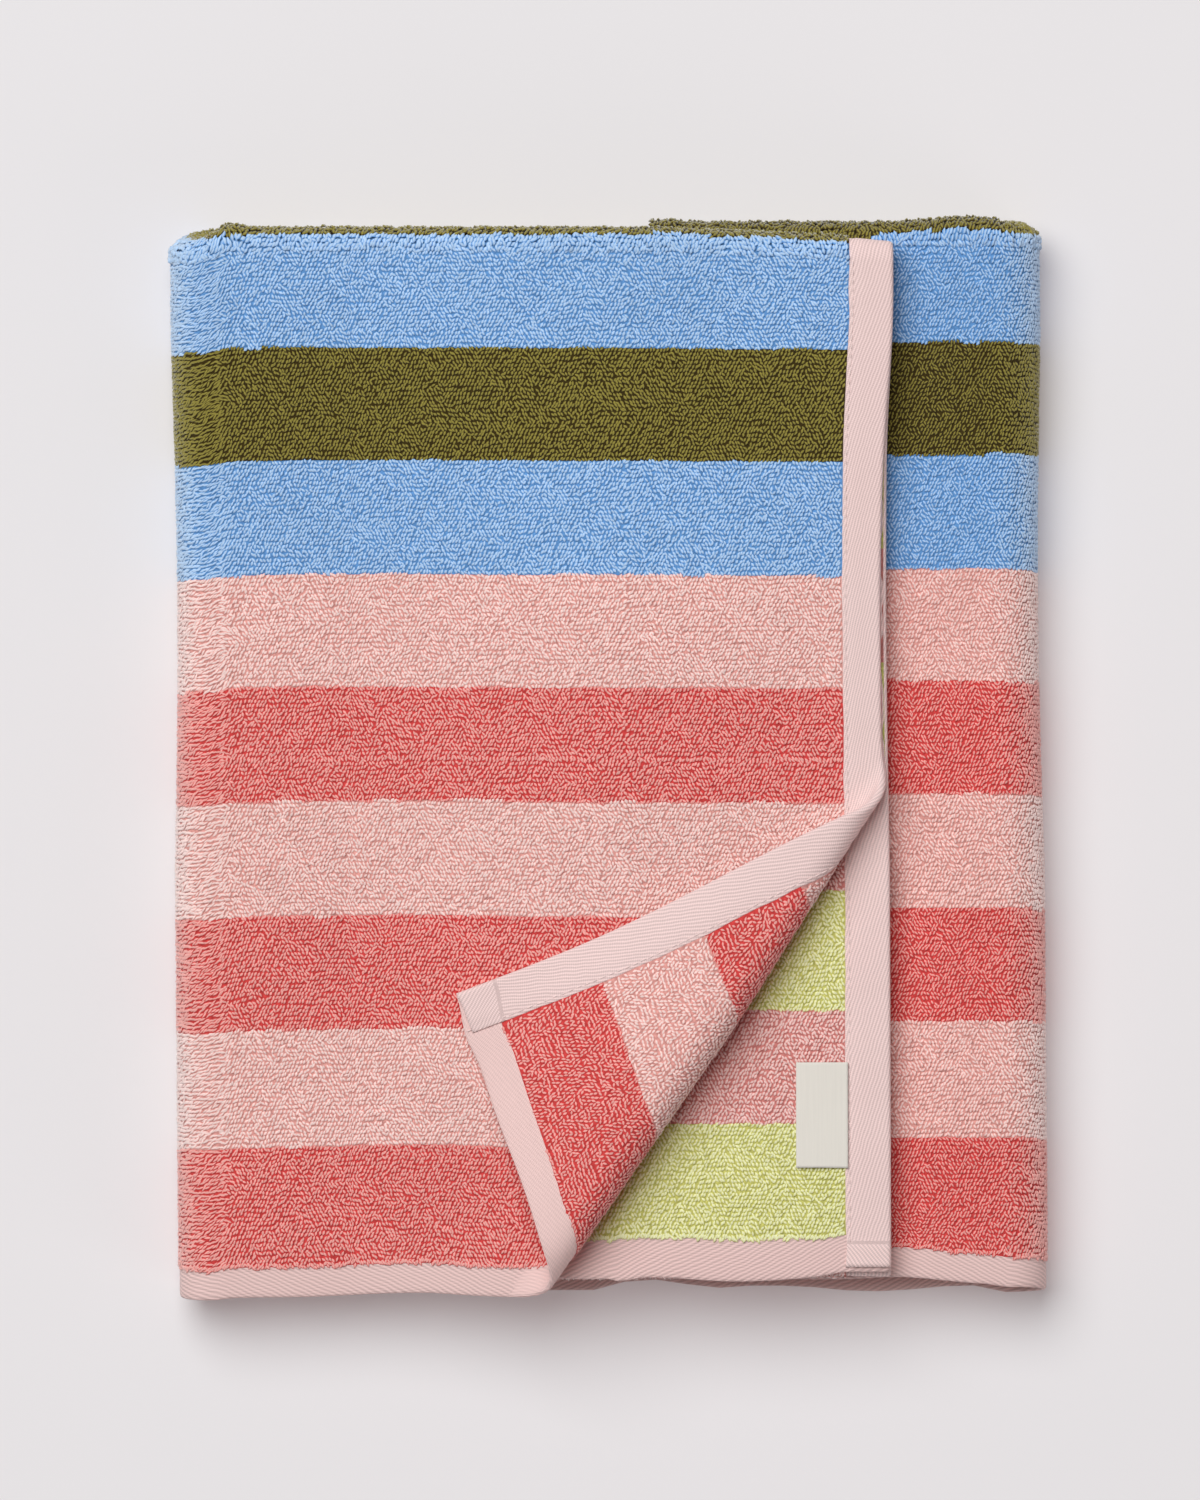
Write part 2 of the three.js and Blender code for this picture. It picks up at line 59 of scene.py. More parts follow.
# The folds, in millimetres, as the part's source gives them
LAYER_PITCH = 3.4
PILE_REACH = 1.5
FOLDED_WIDTH = 284.0
TOP_FOLD_REACH = 173.2
FACE_HEM_END = -174.5
REVERSE_HEM_END = -168.4
BOTTOM_TURN_REACH = -170.4
TOP_SELVAGE = 91.3
INNER_SELVAGE = 14.0
CLIMB_START = -84.0
CLIMB_END = 6.0
CLIMB_EASING = 0.35
STACK_HEIGHT = 4 * LAYER_PITCH
STACK_HALF = STACK_HEIGHT / 2
LAYER_REACH = STACK_HALF - LAYER_PITCH / 2 + PILE_REACH
UNDERSIDE = STACK_HALF - LAYER_REACH
TURN_RADIUS = STACK_HALF
TURN_X = FOLDED_WIDTH / 2 - TURN_RADIUS - LAYER_REACH
WIDE_TURN = 1.5 * LAYER_PITCH
TIGHT_TURN = 0.5 * LAYER_PITCH
TOP_TURN_Y = TOP_FOLD_REACH - WIDE_TURN - PILE_REACH
# The tight turn at the foot is drawn in under the second hem
BOTTOM_DRAWN_IN = 2.6
BOTTOM_TURN_Y = BOTTOM_TURN_REACH + BOTTOM_DRAWN_IN + TIGHT_TURN + PILE_REACH
HALF_LENGTH = (TOP_FOLD_REACH - FACE_HEM_END) / 2
FIRST, SECOND, THIRD, FOURTH = (LAYER_PITCH * share for share in (1.5, 0.5, -0.5, -1.5))

# The turned-back corner
FOLD_START = np.array([88.7, -12.7])
FOLD_END = np.array([-22.4, -173.2])
AXIS_INSET = 7.0
ROLL_START = 5.5
ROLL_FULL = 8.5
ROLL_GROWTH = 100.0
FLAP_SHRINK = 0.945
FLAP_SETTLE = 62.0
FLAP_LIFT = 3.7
FOLD_ALONG = (FOLD_END - FOLD_START) / np.linalg.norm(FOLD_END - FOLD_START)
FOLD_OUTWARD = np.array([-FOLD_ALONG[1], FOLD_ALONG[0]])
AXIS = FOLD_START - AXIS_INSET * FOLD_OUTWARD

# How far each end sits out of square, by place across the top panel
TOP_SHIFT = {
    "x": [-142, -138.3, -133, -128.5, -121, -100, -58, -26, 92],
    "top": [-2.4, -1.8, -1.6, -0.6, 0.0, 0.4, 0.0, 0.0, -0.6],
    "bottom": [-0.7, -0.5, -0.3, -0.1, 0.4, 0.8, 2.0, 0.8, 0.8],
}
# The top panel's fold dips beside its binding and at its left corner
FOLD_DIP = {
    "x": [-142, -134, -128, -124, 15, 40, 78, 92],
    "dip": [-1.2, -2.2, -1.8, 0.0, 0.0, -0.8, -2.3, -3.5],
}
BOTTOM_SHIFT = {"top": 0.4, "bottom": 1.9}
INNER_SHIFT = {"top": 2.0, "bottom": 4.2}

# How far each hem that shows at the foot wanders, by place across
HEM_WANDER = {
    "top panel": {
        "x": [3.6, 11.7, 19.8, 28, 36, 44.5, 52.6, 60.8, 69, 76, 92],
        "y": [-1.6, -0.3, -0.4, -1.1, -1.6, -1.7, -1.4, -0.8, 0.1, 1.5, 1.5],
    },
    "inner panel": {
        "x": [78, 85, 91, 98, 106, 114, 122.5, 130.6, 134.5, 142],
        "y": [1.5, 1.9, 2.3, 2.2, 1.3, 0.5, -0.1, 0.3, 0.7, 1.0],
    },
    "under panel": {
        "x": [0, 11.7, 19.8, 28, 36, 44, 61, 69, 77, 85, 90, 98, 106, 114, 131, 142],
        "y": [1.5, 3.3, 2.6, 1.0, 0.3, 1.0, 1.0, 0.3, -0.5, -0.8, -0.8, -0.2, 0.7, 1.0, 1.3, 2.0],
    },
}
# The ground's edge lies this far inside the tape's fold
GROUND_INSET = 0.9
# How far the inner edge of each layer steps back
STEP_EASING = 80.0
INNER_STEPS = {
    "fourth layer": -64.0,
    "bottom turn": -50.0,
    "third layer": -43.0,
    "second layer": -21.0,
}

# Distances along the cloth from the face hem, and the stripes between them
FIRST_LENGTH = TOP_TURN_Y - FACE_HEM_END
FOURTH_LENGTH = TOP_TURN_Y - BOTTOM_TURN_Y
TOP_TURN_LENGTH = np.pi * WIDE_TURN
TIGHT_TURN_LENGTH = np.pi * TIGHT_TURN
CLOTH_LENGTH = (
    FIRST_LENGTH + TOP_TURN_LENGTH + 2 * FOURTH_LENGTH + 2 * TIGHT_TURN_LENGTH
    + TOP_TURN_Y - REVERSE_HEM_END
)
FACE_HEM_WIDTH = 9.7
REVERSE_HEM_WIDTH = 13.0
STRIPES = 36
FACE_STRIPE_ENDS = [47.8, 86.1, 123.2, 160.9, 197.9, 234.7, 272.0, 308.8, 346.1]
REVERSE_STRIPE_STARTS = [126.1, 87.1, 49.7]

TOP, LEFT, BOTTOM, RIGHT, INNER = range(5)
# Rows of the cloth are numbered by their layer, and then by their turn
FIRST_LAYER, SECOND_LAYER, THIRD_LAYER, FOURTH_LAYER = 1, 2, 3, 4
WIDE_TOP_TURN, BOTTOM_TURN, TIGHT_TOP_TURN = 5, 6, 7
Place = namedtuple("Place", "x z nx nz panel share")
Run = namedtuple("Run", "y w ny nw")
Hump = namedtuple("Hump", "middle width height")

# Humps and hollows by place across
LEFT_FOLD_HUMP = Hump(-122.5, 5.5, 1.4)
INNER_FOLD_HUMPS = Hump(19, 5, 0.9), Hump(117, 15, 1.8)
OLD_CREASE = Hump(-119, 7, -0.3), Hump(-104, 9, 0.2)
CORNER_HEM_HOLLOW = Hump(77, 8, -1.8)
LEFT_STRIPE_HUMP = Hump(-121, 5, 1.7)


def linear(hex_colour):
    """An sRGB hex colour as linear red, green and blue."""
    channels = [int(hex_colour[i : i + 2], 16) / 255 for i in (1, 3, 5)]
    return tuple(c / 12.92 if c <= 0.04045 else ((c + 0.055) / 1.055) ** 2.4 for c in channels)


def length_size(name, description, millimetres):
    """A length that a user may change."""
    return FloatProperty(name=name, description=description, default=millimetres * MM, unit="LENGTH")


def yarn_colour(name, description, hex_colour):
    """A dyed colour that a user may change."""
    return FloatVectorProperty(
        name=name, description=description, default=linear(hex_colour), subtype="COLOR",
        size=3, min=0, max=1,
    )


class TowelSizes(bpy.types.PropertyGroup):
    """Sizes of the terry, tape, stitches and label."""

    loop_across: length_size("Loop spacing across", "Distance between loops across the cloth", 1.15)
    loop_along: length_size("Loop spacing along", "Distance between loops along the cloth", 1.32)
    loop_length: length_size("Loop length", "Length of a loop's crown, root to root", 2.0)
    loop_width: length_size("Loop width", "Width of a loop at its root", 1.2)
    loop_height: length_size("Loop height", "Height of a crown over the cloth's middle", 1.5)
    ground_thickness: length_size("Ground thickness", "Thickness of the ground with loop roots", 2.0)
    hem_thickness: length_size("Hem thickness", "Thickness of the flat woven hems", 1.9)
    tape_width: length_size("Tape width", "Width of the binding that shows on one side", 14.6)
    tape_thickness: length_size("Tape thickness", "Thickness of the binding tape", 0.6)
    twill_spacing: length_size("Twill spacing", "Distance between the tape's twill lines", 1.1)
    hem_twill_spacing: length_size("Hem twill spacing", "Distance between twill lines in a hem", 1.25)
    stitch_length: length_size("Stitch length", "Length of one stitch", 2.4)
    stitch_gap: length_size("Stitch gap", "Gap between two stitches", 0.5)
    thread_width: length_size("Thread width", "Width of the sewing thread", 0.42)
    label_length: length_size("Label length", "Length of the label tab along the binding", 34.5)
    label_reach: length_size("Label reach", "How far the label tab reaches over the terry", 15.6)


class TowelColours(bpy.types.PropertyGroup):
    """Colours of the yarns."""

    red: yarn_colour("Red", "Red terry yarn", "#f0aaa2")
    pink: yarn_colour("Pink", "Pink terry yarn", "#f7d9d3")
    # Painted shade: a darker copy of the pink, for the far end's pink stripes beside the lime, where the
    # turned-back corner shades them
    pink_in_painted_shade: yarn_colour("Rose", "Pink terry yarn beside the lime", "#f0cac4")
    blue: yarn_colour("Blue", "Blue terry yarn", "#b5cfed")
    olive: yarn_colour("Olive", "Olive terry yarn", "#908438")
    lime: yarn_colour("Lime", "Lime terry yarn", "#ebeabb")
    hem: yarn_colour("Hem", "Yarn of the flat hems", "#e9c6c1")
    tape: yarn_colour("Tape", "Binding tape", "#ecceca")
    thread: yarn_colour("Thread", "Sewing thread", "#ecd3cf")
    label: yarn_colour("Label", "Label tab", "#e6dfd5")
    floor: yarn_colour("Floor", "Floor under the towel", "#d1cfd0")


# Places in the folded cloth


def smooth(value):
    """Eases from 0 to 1."""
    f = np.clip(value, 0, 1)
    return f * f * (3 - 2 * f)


def above(value, start, over):
    """Eases from 0 to 1 as a value rises past a start."""
    return smooth((value - start) / over)


def below(value, start, over):
    """Eases from 0 to 1 as a value falls past a start."""
    return smooth((start - value) / over)


def humps(x, *rows):
    """The height of rounded humps and hollows at each place across."""
    return sum(row.height * np.exp(-(((x - row.middle) / row.width) ** 2)) for row in rows)


NOISE_CELLS = 256


def soft_noise(x, y, scale, seed):
    """Smooth noise between -1 and 1, with features about as large as scale."""
    table = np.random.default_rng(seed).uniform(-1, 1, (NOISE_CELLS, NOISE_CELLS))
    gx, gy = np.asarray(x) / scale + 61.3, np.asarray(y) / scale + 87.9
    ix, iy = np.floor(gx).astype(int), np.floor(gy).astype(int)
    fx, fy = smooth(gx - ix), smooth(gy - iy)

    def cell(right, up):
        return table[(ix + right) % NOISE_CELLS, (iy + up) % NOISE_CELLS]

    low = cell(0, 0) * (1 - fx) + cell(1, 0) * fx
    high = cell(0, 1) * (1 - fx) + cell(1, 1) * fx
    return low * (1 - fy) + high * fy


def panel_height(x):
    """Height of the middle of the top panel's layers, which climb over the third beneath."""
    f = np.clip((x - CLIMB_START) / (CLIMB_END - CLIMB_START), 0, 1)
    return 3 * STACK_HALF + STACK_HEIGHT * ((1 - CLIMB_EASING) * f + CLIMB_EASING * smooth(f))


def top_place(x):
    """A place on the top panel."""
    x = np.asarray(x, float)
    slope = (panel_height(x + 1) - panel_height(x - 1)) / 2
    size = np.hypot(1, slope)
    return Place(x, panel_height(x), -slope / size, 1 / size, np.full(x.shape, TOP), 0 * x)


def turn_place(side, angle):
    """A place on the turn at one side, as an angle from the top panel."""
    angle = np.asarray(angle, float)
    x = side * (TURN_X + TURN_RADIUS * np.sin(angle))
    z = 2 * STACK_HALF + TURN_RADIUS * np.cos(angle)
    panel = np.full(angle.shape, LEFT if side < 0 else RIGHT)
    return Place(x, z, side * np.sin(angle), np.cos(angle), panel, angle / np.pi)


def level_place(x, panel):
    """A place on the bottom panel or the inner one."""
    x = np.asarray(x, float)
    up = 1.0 if panel == INNER else -1.0
    z = (3 if panel == INNER else 1) * STACK_HALF
    return Place(x, z + 0 * x, 0 * x, up + 0 * x, np.full(x.shape, panel), 0 * x)


def joined(kind, rows):
    """Several places, or several runs, as one."""
    return kind(*(np.concatenate(parts) for parts in zip(*rows)))


def end_shift(place, x, end):
    """How far an end of the fold sits out of square at each place."""
    top = np.interp(x, TOP_SHIFT["x"], TOP_SHIFT[end])
    bottom, inner = BOTTOM_SHIFT[end] + 0 * top, INNER_SHIFT[end]
    if end == "top":
        # The whole bundle is rounded off at its left corner
        bottom = bottom + np.minimum(top, 0) * below(x, start=-110, over=18)
    eased = smooth(place.share)
    panel = place.panel
    return np.select(
        [panel == TOP, panel == LEFT, panel == RIGHT, panel == BOTTOM],
        [top, top + (bottom - top) * eased, inner + (bottom - inner) * eased, bottom],
        inner + 0 * top,
    )


def shifted(place, x, y):
    """Where a row of the cloth comes to lie, at each place across."""
    footwards = np.clip((TOP_TURN_Y - y) / (TOP_TURN_Y - FACE_HEM_END), 0, 1)
    upper = (place.panel == TOP) | (place.panel == LEFT)
    dip = np.interp(x, FOLD_DIP["x"], FOLD_DIP["dip"]) * above(y, start=128, over=38)
    dip = np.where(upper, dip * (1 - above(place.share, start=0.5, over=0.25)), 0)
    left = humps(x, LEFT_FOLD_HUMP) * (place.panel == TOP) * above(y, start=167.2, over=3.5)
    inner = humps(x, *INNER_FOLD_HUMPS) * (place.panel == INNER) * above(y, start=165, over=6)
    top_shift = end_shift(place, x, "top") * (1 - footwards)
    bottom_shift = end_shift(place, x, "bottom") * footwards
    return y + top_shift + bottom_shift + dip + (left + inner)


def hem_wave(x, y, layer, panel):
    """Each layer's hem wanders a little in and out."""
    layer = np.asarray(layer)
    noise = 1.1 * soft_noise(x + 90 * panel, 40 * layer + 0 * x, 30, SEED + 9) - 0.5
    waves = [np.interp(x, line["x"], line["y"]) for line in HEM_WANDER.values()]
    # The layer's height tells the second layer from the first
    second_on_top = (panel == TOP) & (layer < LAYER_PITCH) & (layer > 0) & (x > 0)
    first_on_inner = (panel == INNER) & (layer > LAYER_PITCH)
    first_on_bottom = (panel == BOTTOM) & (layer > LAYER_PITCH) & (x > 0)
    wave = np.select([second_on_top, first_on_inner, first_on_bottom], waves, noise)
    corner = humps(x, CORNER_HEM_HOLLOW) * (layer > LAYER_PITCH) * (panel == TOP)
    return (wave + corner) * below(y, start=-148, over=16)


def selvage_drift(x, y, z):
    """How far the top panel's bound edge sits out of line."""
    upper = 1.7 * above(z, start=26, over=6) * above(x, start=30, over=40) * above(y, start=95, over=60)
    first = above(z, start=36.9, over=1.6) * above(x, start=76, over=14)
    return upper - 2.0 * first * below(y, start=150, over=100) * above(y, start=-14, over=22)


def relief(x, y):
    """Soft troughs and ridges of the lying cloth, as a height in millimetres."""
    broad = 0.42 * soft_noise(x, y, 58, SEED) + 0.2 * soft_noise(x, y * 1.6, 26, SEED + 1)
    return broad + humps(x, *OLD_CREASE)


def settle(x, y, z):
    """Slow swell of the stack and lean of its sides, in metres."""
    x = x + selvage_drift(x, y, z)
    across = np.sin(2 * np.pi * (x + 40) / 190)
    along = np.cos(2 * np.pi * (y - 30) / 260)
    height = (z - UNDERSIDE) * (1 + 0.02 * across * along)
    height = np.maximum(height + relief(x, y) * above(height, start=14, over=16), 0.03)
    place = y / HALF_LENGTH
    pinch = 1 - 0.01 * np.maximum(0, np.cos(np.pi * (place - 0.3)))
    lean = 1.4 * place * (x / (FOLDED_WIDTH / 2)) ** 2
    return np.stack(np.broadcast_arrays(x * pinch - lean, y, height), -1) * MM


def fold_point(place, run, offset):
    """A point of the folded cloth, offset from its middle towards its face."""
    w = run.w + offset * run.nw
    x = place.x + w * place.nx
    z = place.z + w * place.nz
    y = shifted(place, x, run.y + offset * run.ny) + hem_wave(place.x, run.y, run.w, place.panel)
    return settle(x, y, z)


def layer_run(y, layer, faces_up):
    """Rows on a level layer, face up or face down."""
    y = np.asarray(y, float)
    return Run(y, layer + 0 * y, 0 * y, (1.0 if faces_up else -1.0) + 0 * y)


def turn_run(angle, y, w, radius, reach, rise, face):
    """Rows round a turn between two layers, as an angle from its start."""
    out, up = np.sin(angle) * reach, -np.cos(angle) * rise
    return Run(y + radius * out, w + radius * up, face * out, face * up)


def top_turn(angle):
    """The wide turn at the top, from the first layer to the fourth."""
    return turn_run(angle, TOP_TURN_Y, 0.0, WIDE_TURN, 1, -1, 1)


def bottom_turn(angle):
    """The tight turn at the foot, from the fourth layer to the third."""
    return turn_run(angle, BOTTOM_TURN_Y, -LAYER_PITCH, TIGHT_TURN, -1, 1, 1)


def inner_top_turn(angle):
    """The tight turn at the top, from the third layer to the second."""
    return turn_run(angle, TOP_TURN_Y, 0.0, TIGHT_TURN, 1, 1, -1)


def past_axis(x, y):
    """Distance past the corner's fold axis, on the top layer laid flat."""
    return (x - AXIS[0]) * FOLD_OUTWARD[0] + (y - AXIS[1]) * FOLD_OUTWARD[1]


def along_axis(x, y):
    """Distance along the corner's fold axis."""
    return (x - AXIS[0]) * FOLD_ALONG[0] + (y - AXIS[1]) * FOLD_ALONG[1]


def from_axis(along, past):
    """The place so far along the corner's fold axis and past it."""
    return [AXIS[i] + FOLD_ALONG[i] * along + FOLD_OUTWARD[i] * past for i in (0, 1)]


def flat_y(x, past):
    """How far up a place lies that is so far past the axis."""
    return AXIS[1] + (past - (x - AXIS[0]) * FOLD_OUTWARD[0]) / FOLD_OUTWARD[1]


def top_layer_height(x):
    """Height of the middle of the top layer, over a place on the ground plan."""
    line = top_place(np.linspace(-TURN_X, TOP_SELVAGE + 20, 400))
    return np.interp(x, line.x + FIRST * line.nx, line.z + FIRST * line.nz)


def flap_height(back, radius):
    """Height of the turned-back corner, settling away from its roll."""
    return 2 * radius + (FLAP_LIFT - 2 * radius) * smooth(back / FLAP_SETTLE)


def turned_point(x, y, offset):
    """A point of the top layer's corner, carried over its fold."""
    x, y, offset = np.broadcast_arrays(x, y, offset)
    wave = hem_wave(x, y, FIRST, TOP)
    past, along = past_axis(x, y), along_axis(x, y)
    radius = ROLL_START + (ROLL_FULL - ROLL_START) * smooth(along / ROLL_GROWTH)
    # The roll is pressed down where it meets the hem
    press = above(along, start=180, over=18)
    angle = np.clip(past / radius, 0, np.pi)
    back = np.maximum(0, past - np.pi * radius) * FLAP_SHRINK
    slope = (flap_height(back + 1, radius) - flap_height(np.maximum(0, back - 1), radius)) / 2
    size = np.hypot(1, slope)
    rolling = past < np.pi * radius
    bulge = (radius - offset) * np.sin(angle)
    out = np.where(rolling, bulge, -back - slope / size * offset)
    out = out + np.minimum(past, 0)
    rolled = radius - (radius - offset) * np.cos(angle)
    lift = np.where(rolling, rolled, flap_height(back, radius) - offset / size)
    lift = offset + (lift - offset) * (1 - 0.35 * press)
    # The hem's wander is carried over the fold with the cloth
    along = along + wave * FOLD_ALONG[1]
    out = out + wave * FOLD_OUTWARD[1] * np.cos(angle)
    lift = lift + wave * FOLD_OUTWARD[1] * np.sin(angle)
    plan_x, plan_y = from_axis(along, out)
    place = top_place(plan_x)
    near = 1 - above(past, start=0, over=15)
    plan_x = plan_x + (FIRST + offset) * place.nx * near
    return settle(plan_x, shifted(place, plan_x, plan_y), top_layer_height(plan_x) + lift)


def top_layer_point(x, y, offset):
    """A point of the top layer, over the corner's fold where it lies past it."""
    x, y, offset = np.broadcast_arrays(x, y, offset)
    flat = fold_point(top_place(x), layer_run(y, FIRST, True), offset)
    return np.where((past_axis(x, y) > 0)[..., None], turned_point(x, y, offset), flat)


def stripe_at(along):
    """Stripes passed since the face hem: below 0 is the face hem, above STRIPES the other."""
    ends = CLOTH_LENGTH - REVERSE_HEM_WIDTH
    starts = [CLOTH_LENGTH - start for start in REVERSE_STRIPE_STARTS]
    hidden = STRIPES - len(FACE_STRIPE_ENDS) - len(starts)
    middle = np.linspace(FACE_STRIPE_ENDS[-1], starts[0], hidden + 1)[1:]
    marks = [0, FACE_HEM_WIDTH, *FACE_STRIPE_ENDS, *middle, *starts[1:], ends, CLOTH_LENGTH]
    return np.interp(along, marks, np.arange(-1, STRIPES + 2))


def folded_early(place, x, along):
    """How much sooner each stripe comes at the top fold, which isn't at one place of them."""
    on_inner = place.panel == INNER
    right = np.where(place.panel == RIGHT, smooth(OUTER_TURN * (1 - place.share) / 12), on_inner)
    left = humps(x, LEFT_STRIPE_HUMP) * (place.panel == TOP)
    left = left - 2.6 * (place.panel <= LEFT) * below(x, start=-126, over=5)
    early = 0.8 + 1.9 * right + 7.0 * on_inner * below(x, start=87, over=7) + left
    return early * above(along, start=305, over=35)


# Meshes


def new_piece(name, points, faces, attributes, uv, materials):
    """A mesh object riding on the part, with point attributes and a map for baking."""
    mesh = bpy.data.meshes.new(name)
    mesh.from_pydata(points.reshape(-1, 3).tolist(), [], faces)
    mesh.polygons.foreach_set("use_smooth", np.ones(len(mesh.polygons), bool))
    for key, values in attributes.items():
        kind = "FLOAT" if values.ndim == 1 else "FLOAT_VECTOR"
        layer = mesh.attributes.new(key, kind, "POINT")
        layer.data.foreach_set("value" if kind == "FLOAT" else "vector", values.astype(np.float32).ravel())
    corners = np.empty(len(mesh.loops), np.int32)
    mesh.loops.foreach_get("vertex_index", corners)
    bake_map = mesh.uv_layers.new(name="OFBake")
    bake_map.data.foreach_set("uv", uv[corners].astype(np.float32).ravel())
    for material in materials:
        mesh.materials.append(material)
    piece = bpy.data.objects.new(name, mesh)
    bpy.context.scene.collection.objects.link(piece)
    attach(piece, "root")
    return piece


def unit_map(u, v, low=(0.0, 0.0), high=(1.0, 1.0)):
    """Two coordinates scaled into a part of the unit square."""
    scaled = [
        a + (b - a) * (value - value.min()) / max(float(np.ptp(value)), 1e-9)
        for value, a, b in zip((u, v), low, high)
    ]
    return np.stack([scaled[0].ravel(), scaled[1].ravel()], -1)


def grid_faces(index, flip=False):
    """Faces between the rows and columns of a table of point numbers."""
    corners = [index[:-1, :-1], index[:-1, 1:], index[1:, 1:], index[1:, :-1]]
    return np.stack(corners[::-1] if flip else corners, -1).reshape(-1, 4)


def edge_faces(upper, lower, flip=False):
    """Faces that close the edge between the two sides of a sheet."""
    return grid_faces(np.stack([upper, lower]), flip)


def ring_faces(index):
    """Faces round a tube, with one ring of points in each row."""
    return grid_faces(np.concatenate([index, index[:, :1]], 1))


# Terry ground


HEM_LINES = np.array([0, 0.25, 0.8, 2.2, 4, 6, 7.5, 9.2, 9.9])
HEM_PROFILE = {"x": [0, 0.25, 0.8, 2.2, 7.5, 9.2], "share": [0.35, 0.72, 0.92, 1, 1, 0.85]}
# How much more of the hem shows on the turned-back corner, by place across
WIDER_HEM = {"x": [15, 50, 80, 125], "y": [3.0, 2.0, 1.1, 1.1]}
# Columns of points across the hidden inner panel, and its width on the map
INNER_COLUMNS = 17
INNER_WIDTH = 110.0


def hem_half(from_end, sizes):
    """Half the thickness of the cloth by distance from a hem's end."""
    half = sizes.hem_thickness / MM / 2
    ground = sizes.ground_thickness / MM / 2
    lines = [*HEM_PROFILE["x"], HEM_LINES[-1]]
    return np.interp(from_end, lines, [*HEM_PROFILE["share"], ground / half]) * half


def ground_reach(sizes):
    """How far the ground reaches from the cloth's middle, with loops on it and without."""
    return sizes.ground_thickness / MM / 2, PILE_REACH - 0.08


def wider_hem(across):
    """How much more of the hem shows on the turned-back corner."""
    return np.interp(across, WIDER_HEM["x"], WIDER_HEM["y"])


def main_rows():
    """All rows of the cloth from hem to hem: run, distance along, number, inner edge step."""
    rows = []

    def add(run, along, number, step):
        rows.append((run, along, np.full(len(along), number), step + 0 * along))

    def eased_step(y, own):
        to_top = 1 - below(y, start=TOP_TURN_Y, over=STEP_EASING)
        to_bottom = 1 - above(y, start=BOTTOM_TURN_Y, over=STEP_EASING)
        return own + (0 - own) * to_top + (INNER_STEPS["bottom turn"] - own) * to_bottom

    hem = FACE_HEM_END + HEM_LINES
    y = np.concatenate([hem, np.linspace(hem[-1], TOP_TURN_Y, 64)[1:]])
    add(layer_run(y, FIRST, True), y - FACE_HEM_END, FIRST_LAYER, 0)
    at = FIRST_LENGTH
    angle = np.linspace(0, np.pi, 12)[1:-1]
    add(top_turn(angle), at + angle * WIDE_TURN, WIDE_TOP_TURN, 0)
    at += TOP_TURN_LENGTH
    y = np.linspace(TOP_TURN_Y, BOTTOM_TURN_Y, 26)
    step = eased_step(y, INNER_STEPS["fourth layer"])
    add(layer_run(y, FOURTH, False), at + TOP_TURN_Y - y, FOURTH_LAYER, step)
    at += FOURTH_LENGTH
    angle = np.linspace(0, np.pi, 9)[1:-1]
    add(bottom_turn(angle), at + angle * TIGHT_TURN, BOTTOM_TURN, INNER_STEPS["bottom turn"])
    at += TIGHT_TURN_LENGTH
    y = y[::-1]
    step = eased_step(y, INNER_STEPS["third layer"])
    add(layer_run(y, THIRD, True), at + y - BOTTOM_TURN_Y, THIRD_LAYER, step)
    at += FOURTH_LENGTH
    add(inner_top_turn(angle), at + angle * TIGHT_TURN, TIGHT_TOP_TURN, 0)
    at += TIGHT_TURN_LENGTH
    hem = REVERSE_HEM_END + HEM_LINES * REVERSE_HEM_WIDTH / HEM_LINES[-1]
    y = np.concatenate([np.linspace(TOP_TURN_Y, hem[-1], 48)[:-1], hem[::-1]])
    step = INNER_STEPS["second layer"] * below(y, start=TOP_TURN_Y, over=STEP_EASING)
    add(layer_run(y, SECOND, False), at + TOP_TURN_Y - y, SECOND_LAYER, step)
    runs, *others = zip(*rows)
    return joined(Run, runs), *(np.concatenate(values) for values in others)


def corner_columns():
    """Places across the top panel, with those where the corner's fold crosses the hem's lines."""
    hem_y = FACE_HEM_END + HEM_LINES[::-1]
    crossings = AXIS[0] + (hem_y - AXIS[1]) * FOLD_ALONG[0] / FOLD_ALONG[1]
    edge = TOP_SELVAGE - GROUND_INSET
    corner = np.linspace(edge, crossings[0], int((edge - crossings[0]) / 3.0))
    rest = np.linspace(crossings[-1], -TURN_X, 34)
    return np.concatenate([corner, crossings[1:]]), rest[1:]


def main_columns():
    """Places round the bundle, and how many of them cross the corner."""
    corner, rest = corner_columns()
    angle = np.linspace(0, np.pi, 17)
    top = top_place(np.concatenate([corner, rest[:-1]]))
    under = level_place(np.linspace(-TURN_X, TURN_X, 26)[1:-1], BOTTOM)
    share = np.linspace(0, 1, INNER_COLUMNS + 1)[1:]
    inner = level_place(0 * share, INNER)._replace(share=share)
    sides = [top, turn_place(-1, angle), under, turn_place(1, angle[::-1]), inner]
    return joined(Place, sides), len(corner)


def ground_halves(place, y, number, distance, sizes):
    """How far the ground reaches to each side: thin where loops stand, else as high as they."""
    thin, full = ground_reach(sizes)
    first, second = number == FIRST_LAYER, number == SECOND_LAYER
    looped = first & (place.panel != BOTTOM) | (number == WIDE_TOP_TURN) | (number == BOTTOM_TURN)
    looped = looped & ~((place.panel == INNER) & (place.x < 75) & first)
    bared = above(place.x, start=-40, over=8) * below(y, start=4, over=8)
    bared = bared * (place.panel == TOP) * second
    hem = np.minimum(distance, CLOTH_LENGTH - distance)
    in_hem = (hem < HEM_LINES[-1] - 0.01) | (second & (hem < REVERSE_HEM_WIDTH - 0.01))
    hem_at = np.where(second, hem * HEM_LINES[-1] / REVERSE_HEM_WIDTH, hem)
    face = np.where(in_hem, hem_half(hem_at, sizes), np.where(looped, thin, full))
    back = np.where(in_hem, hem_half(hem_at, sizes), full + (thin - full) * bared)
    return face, back


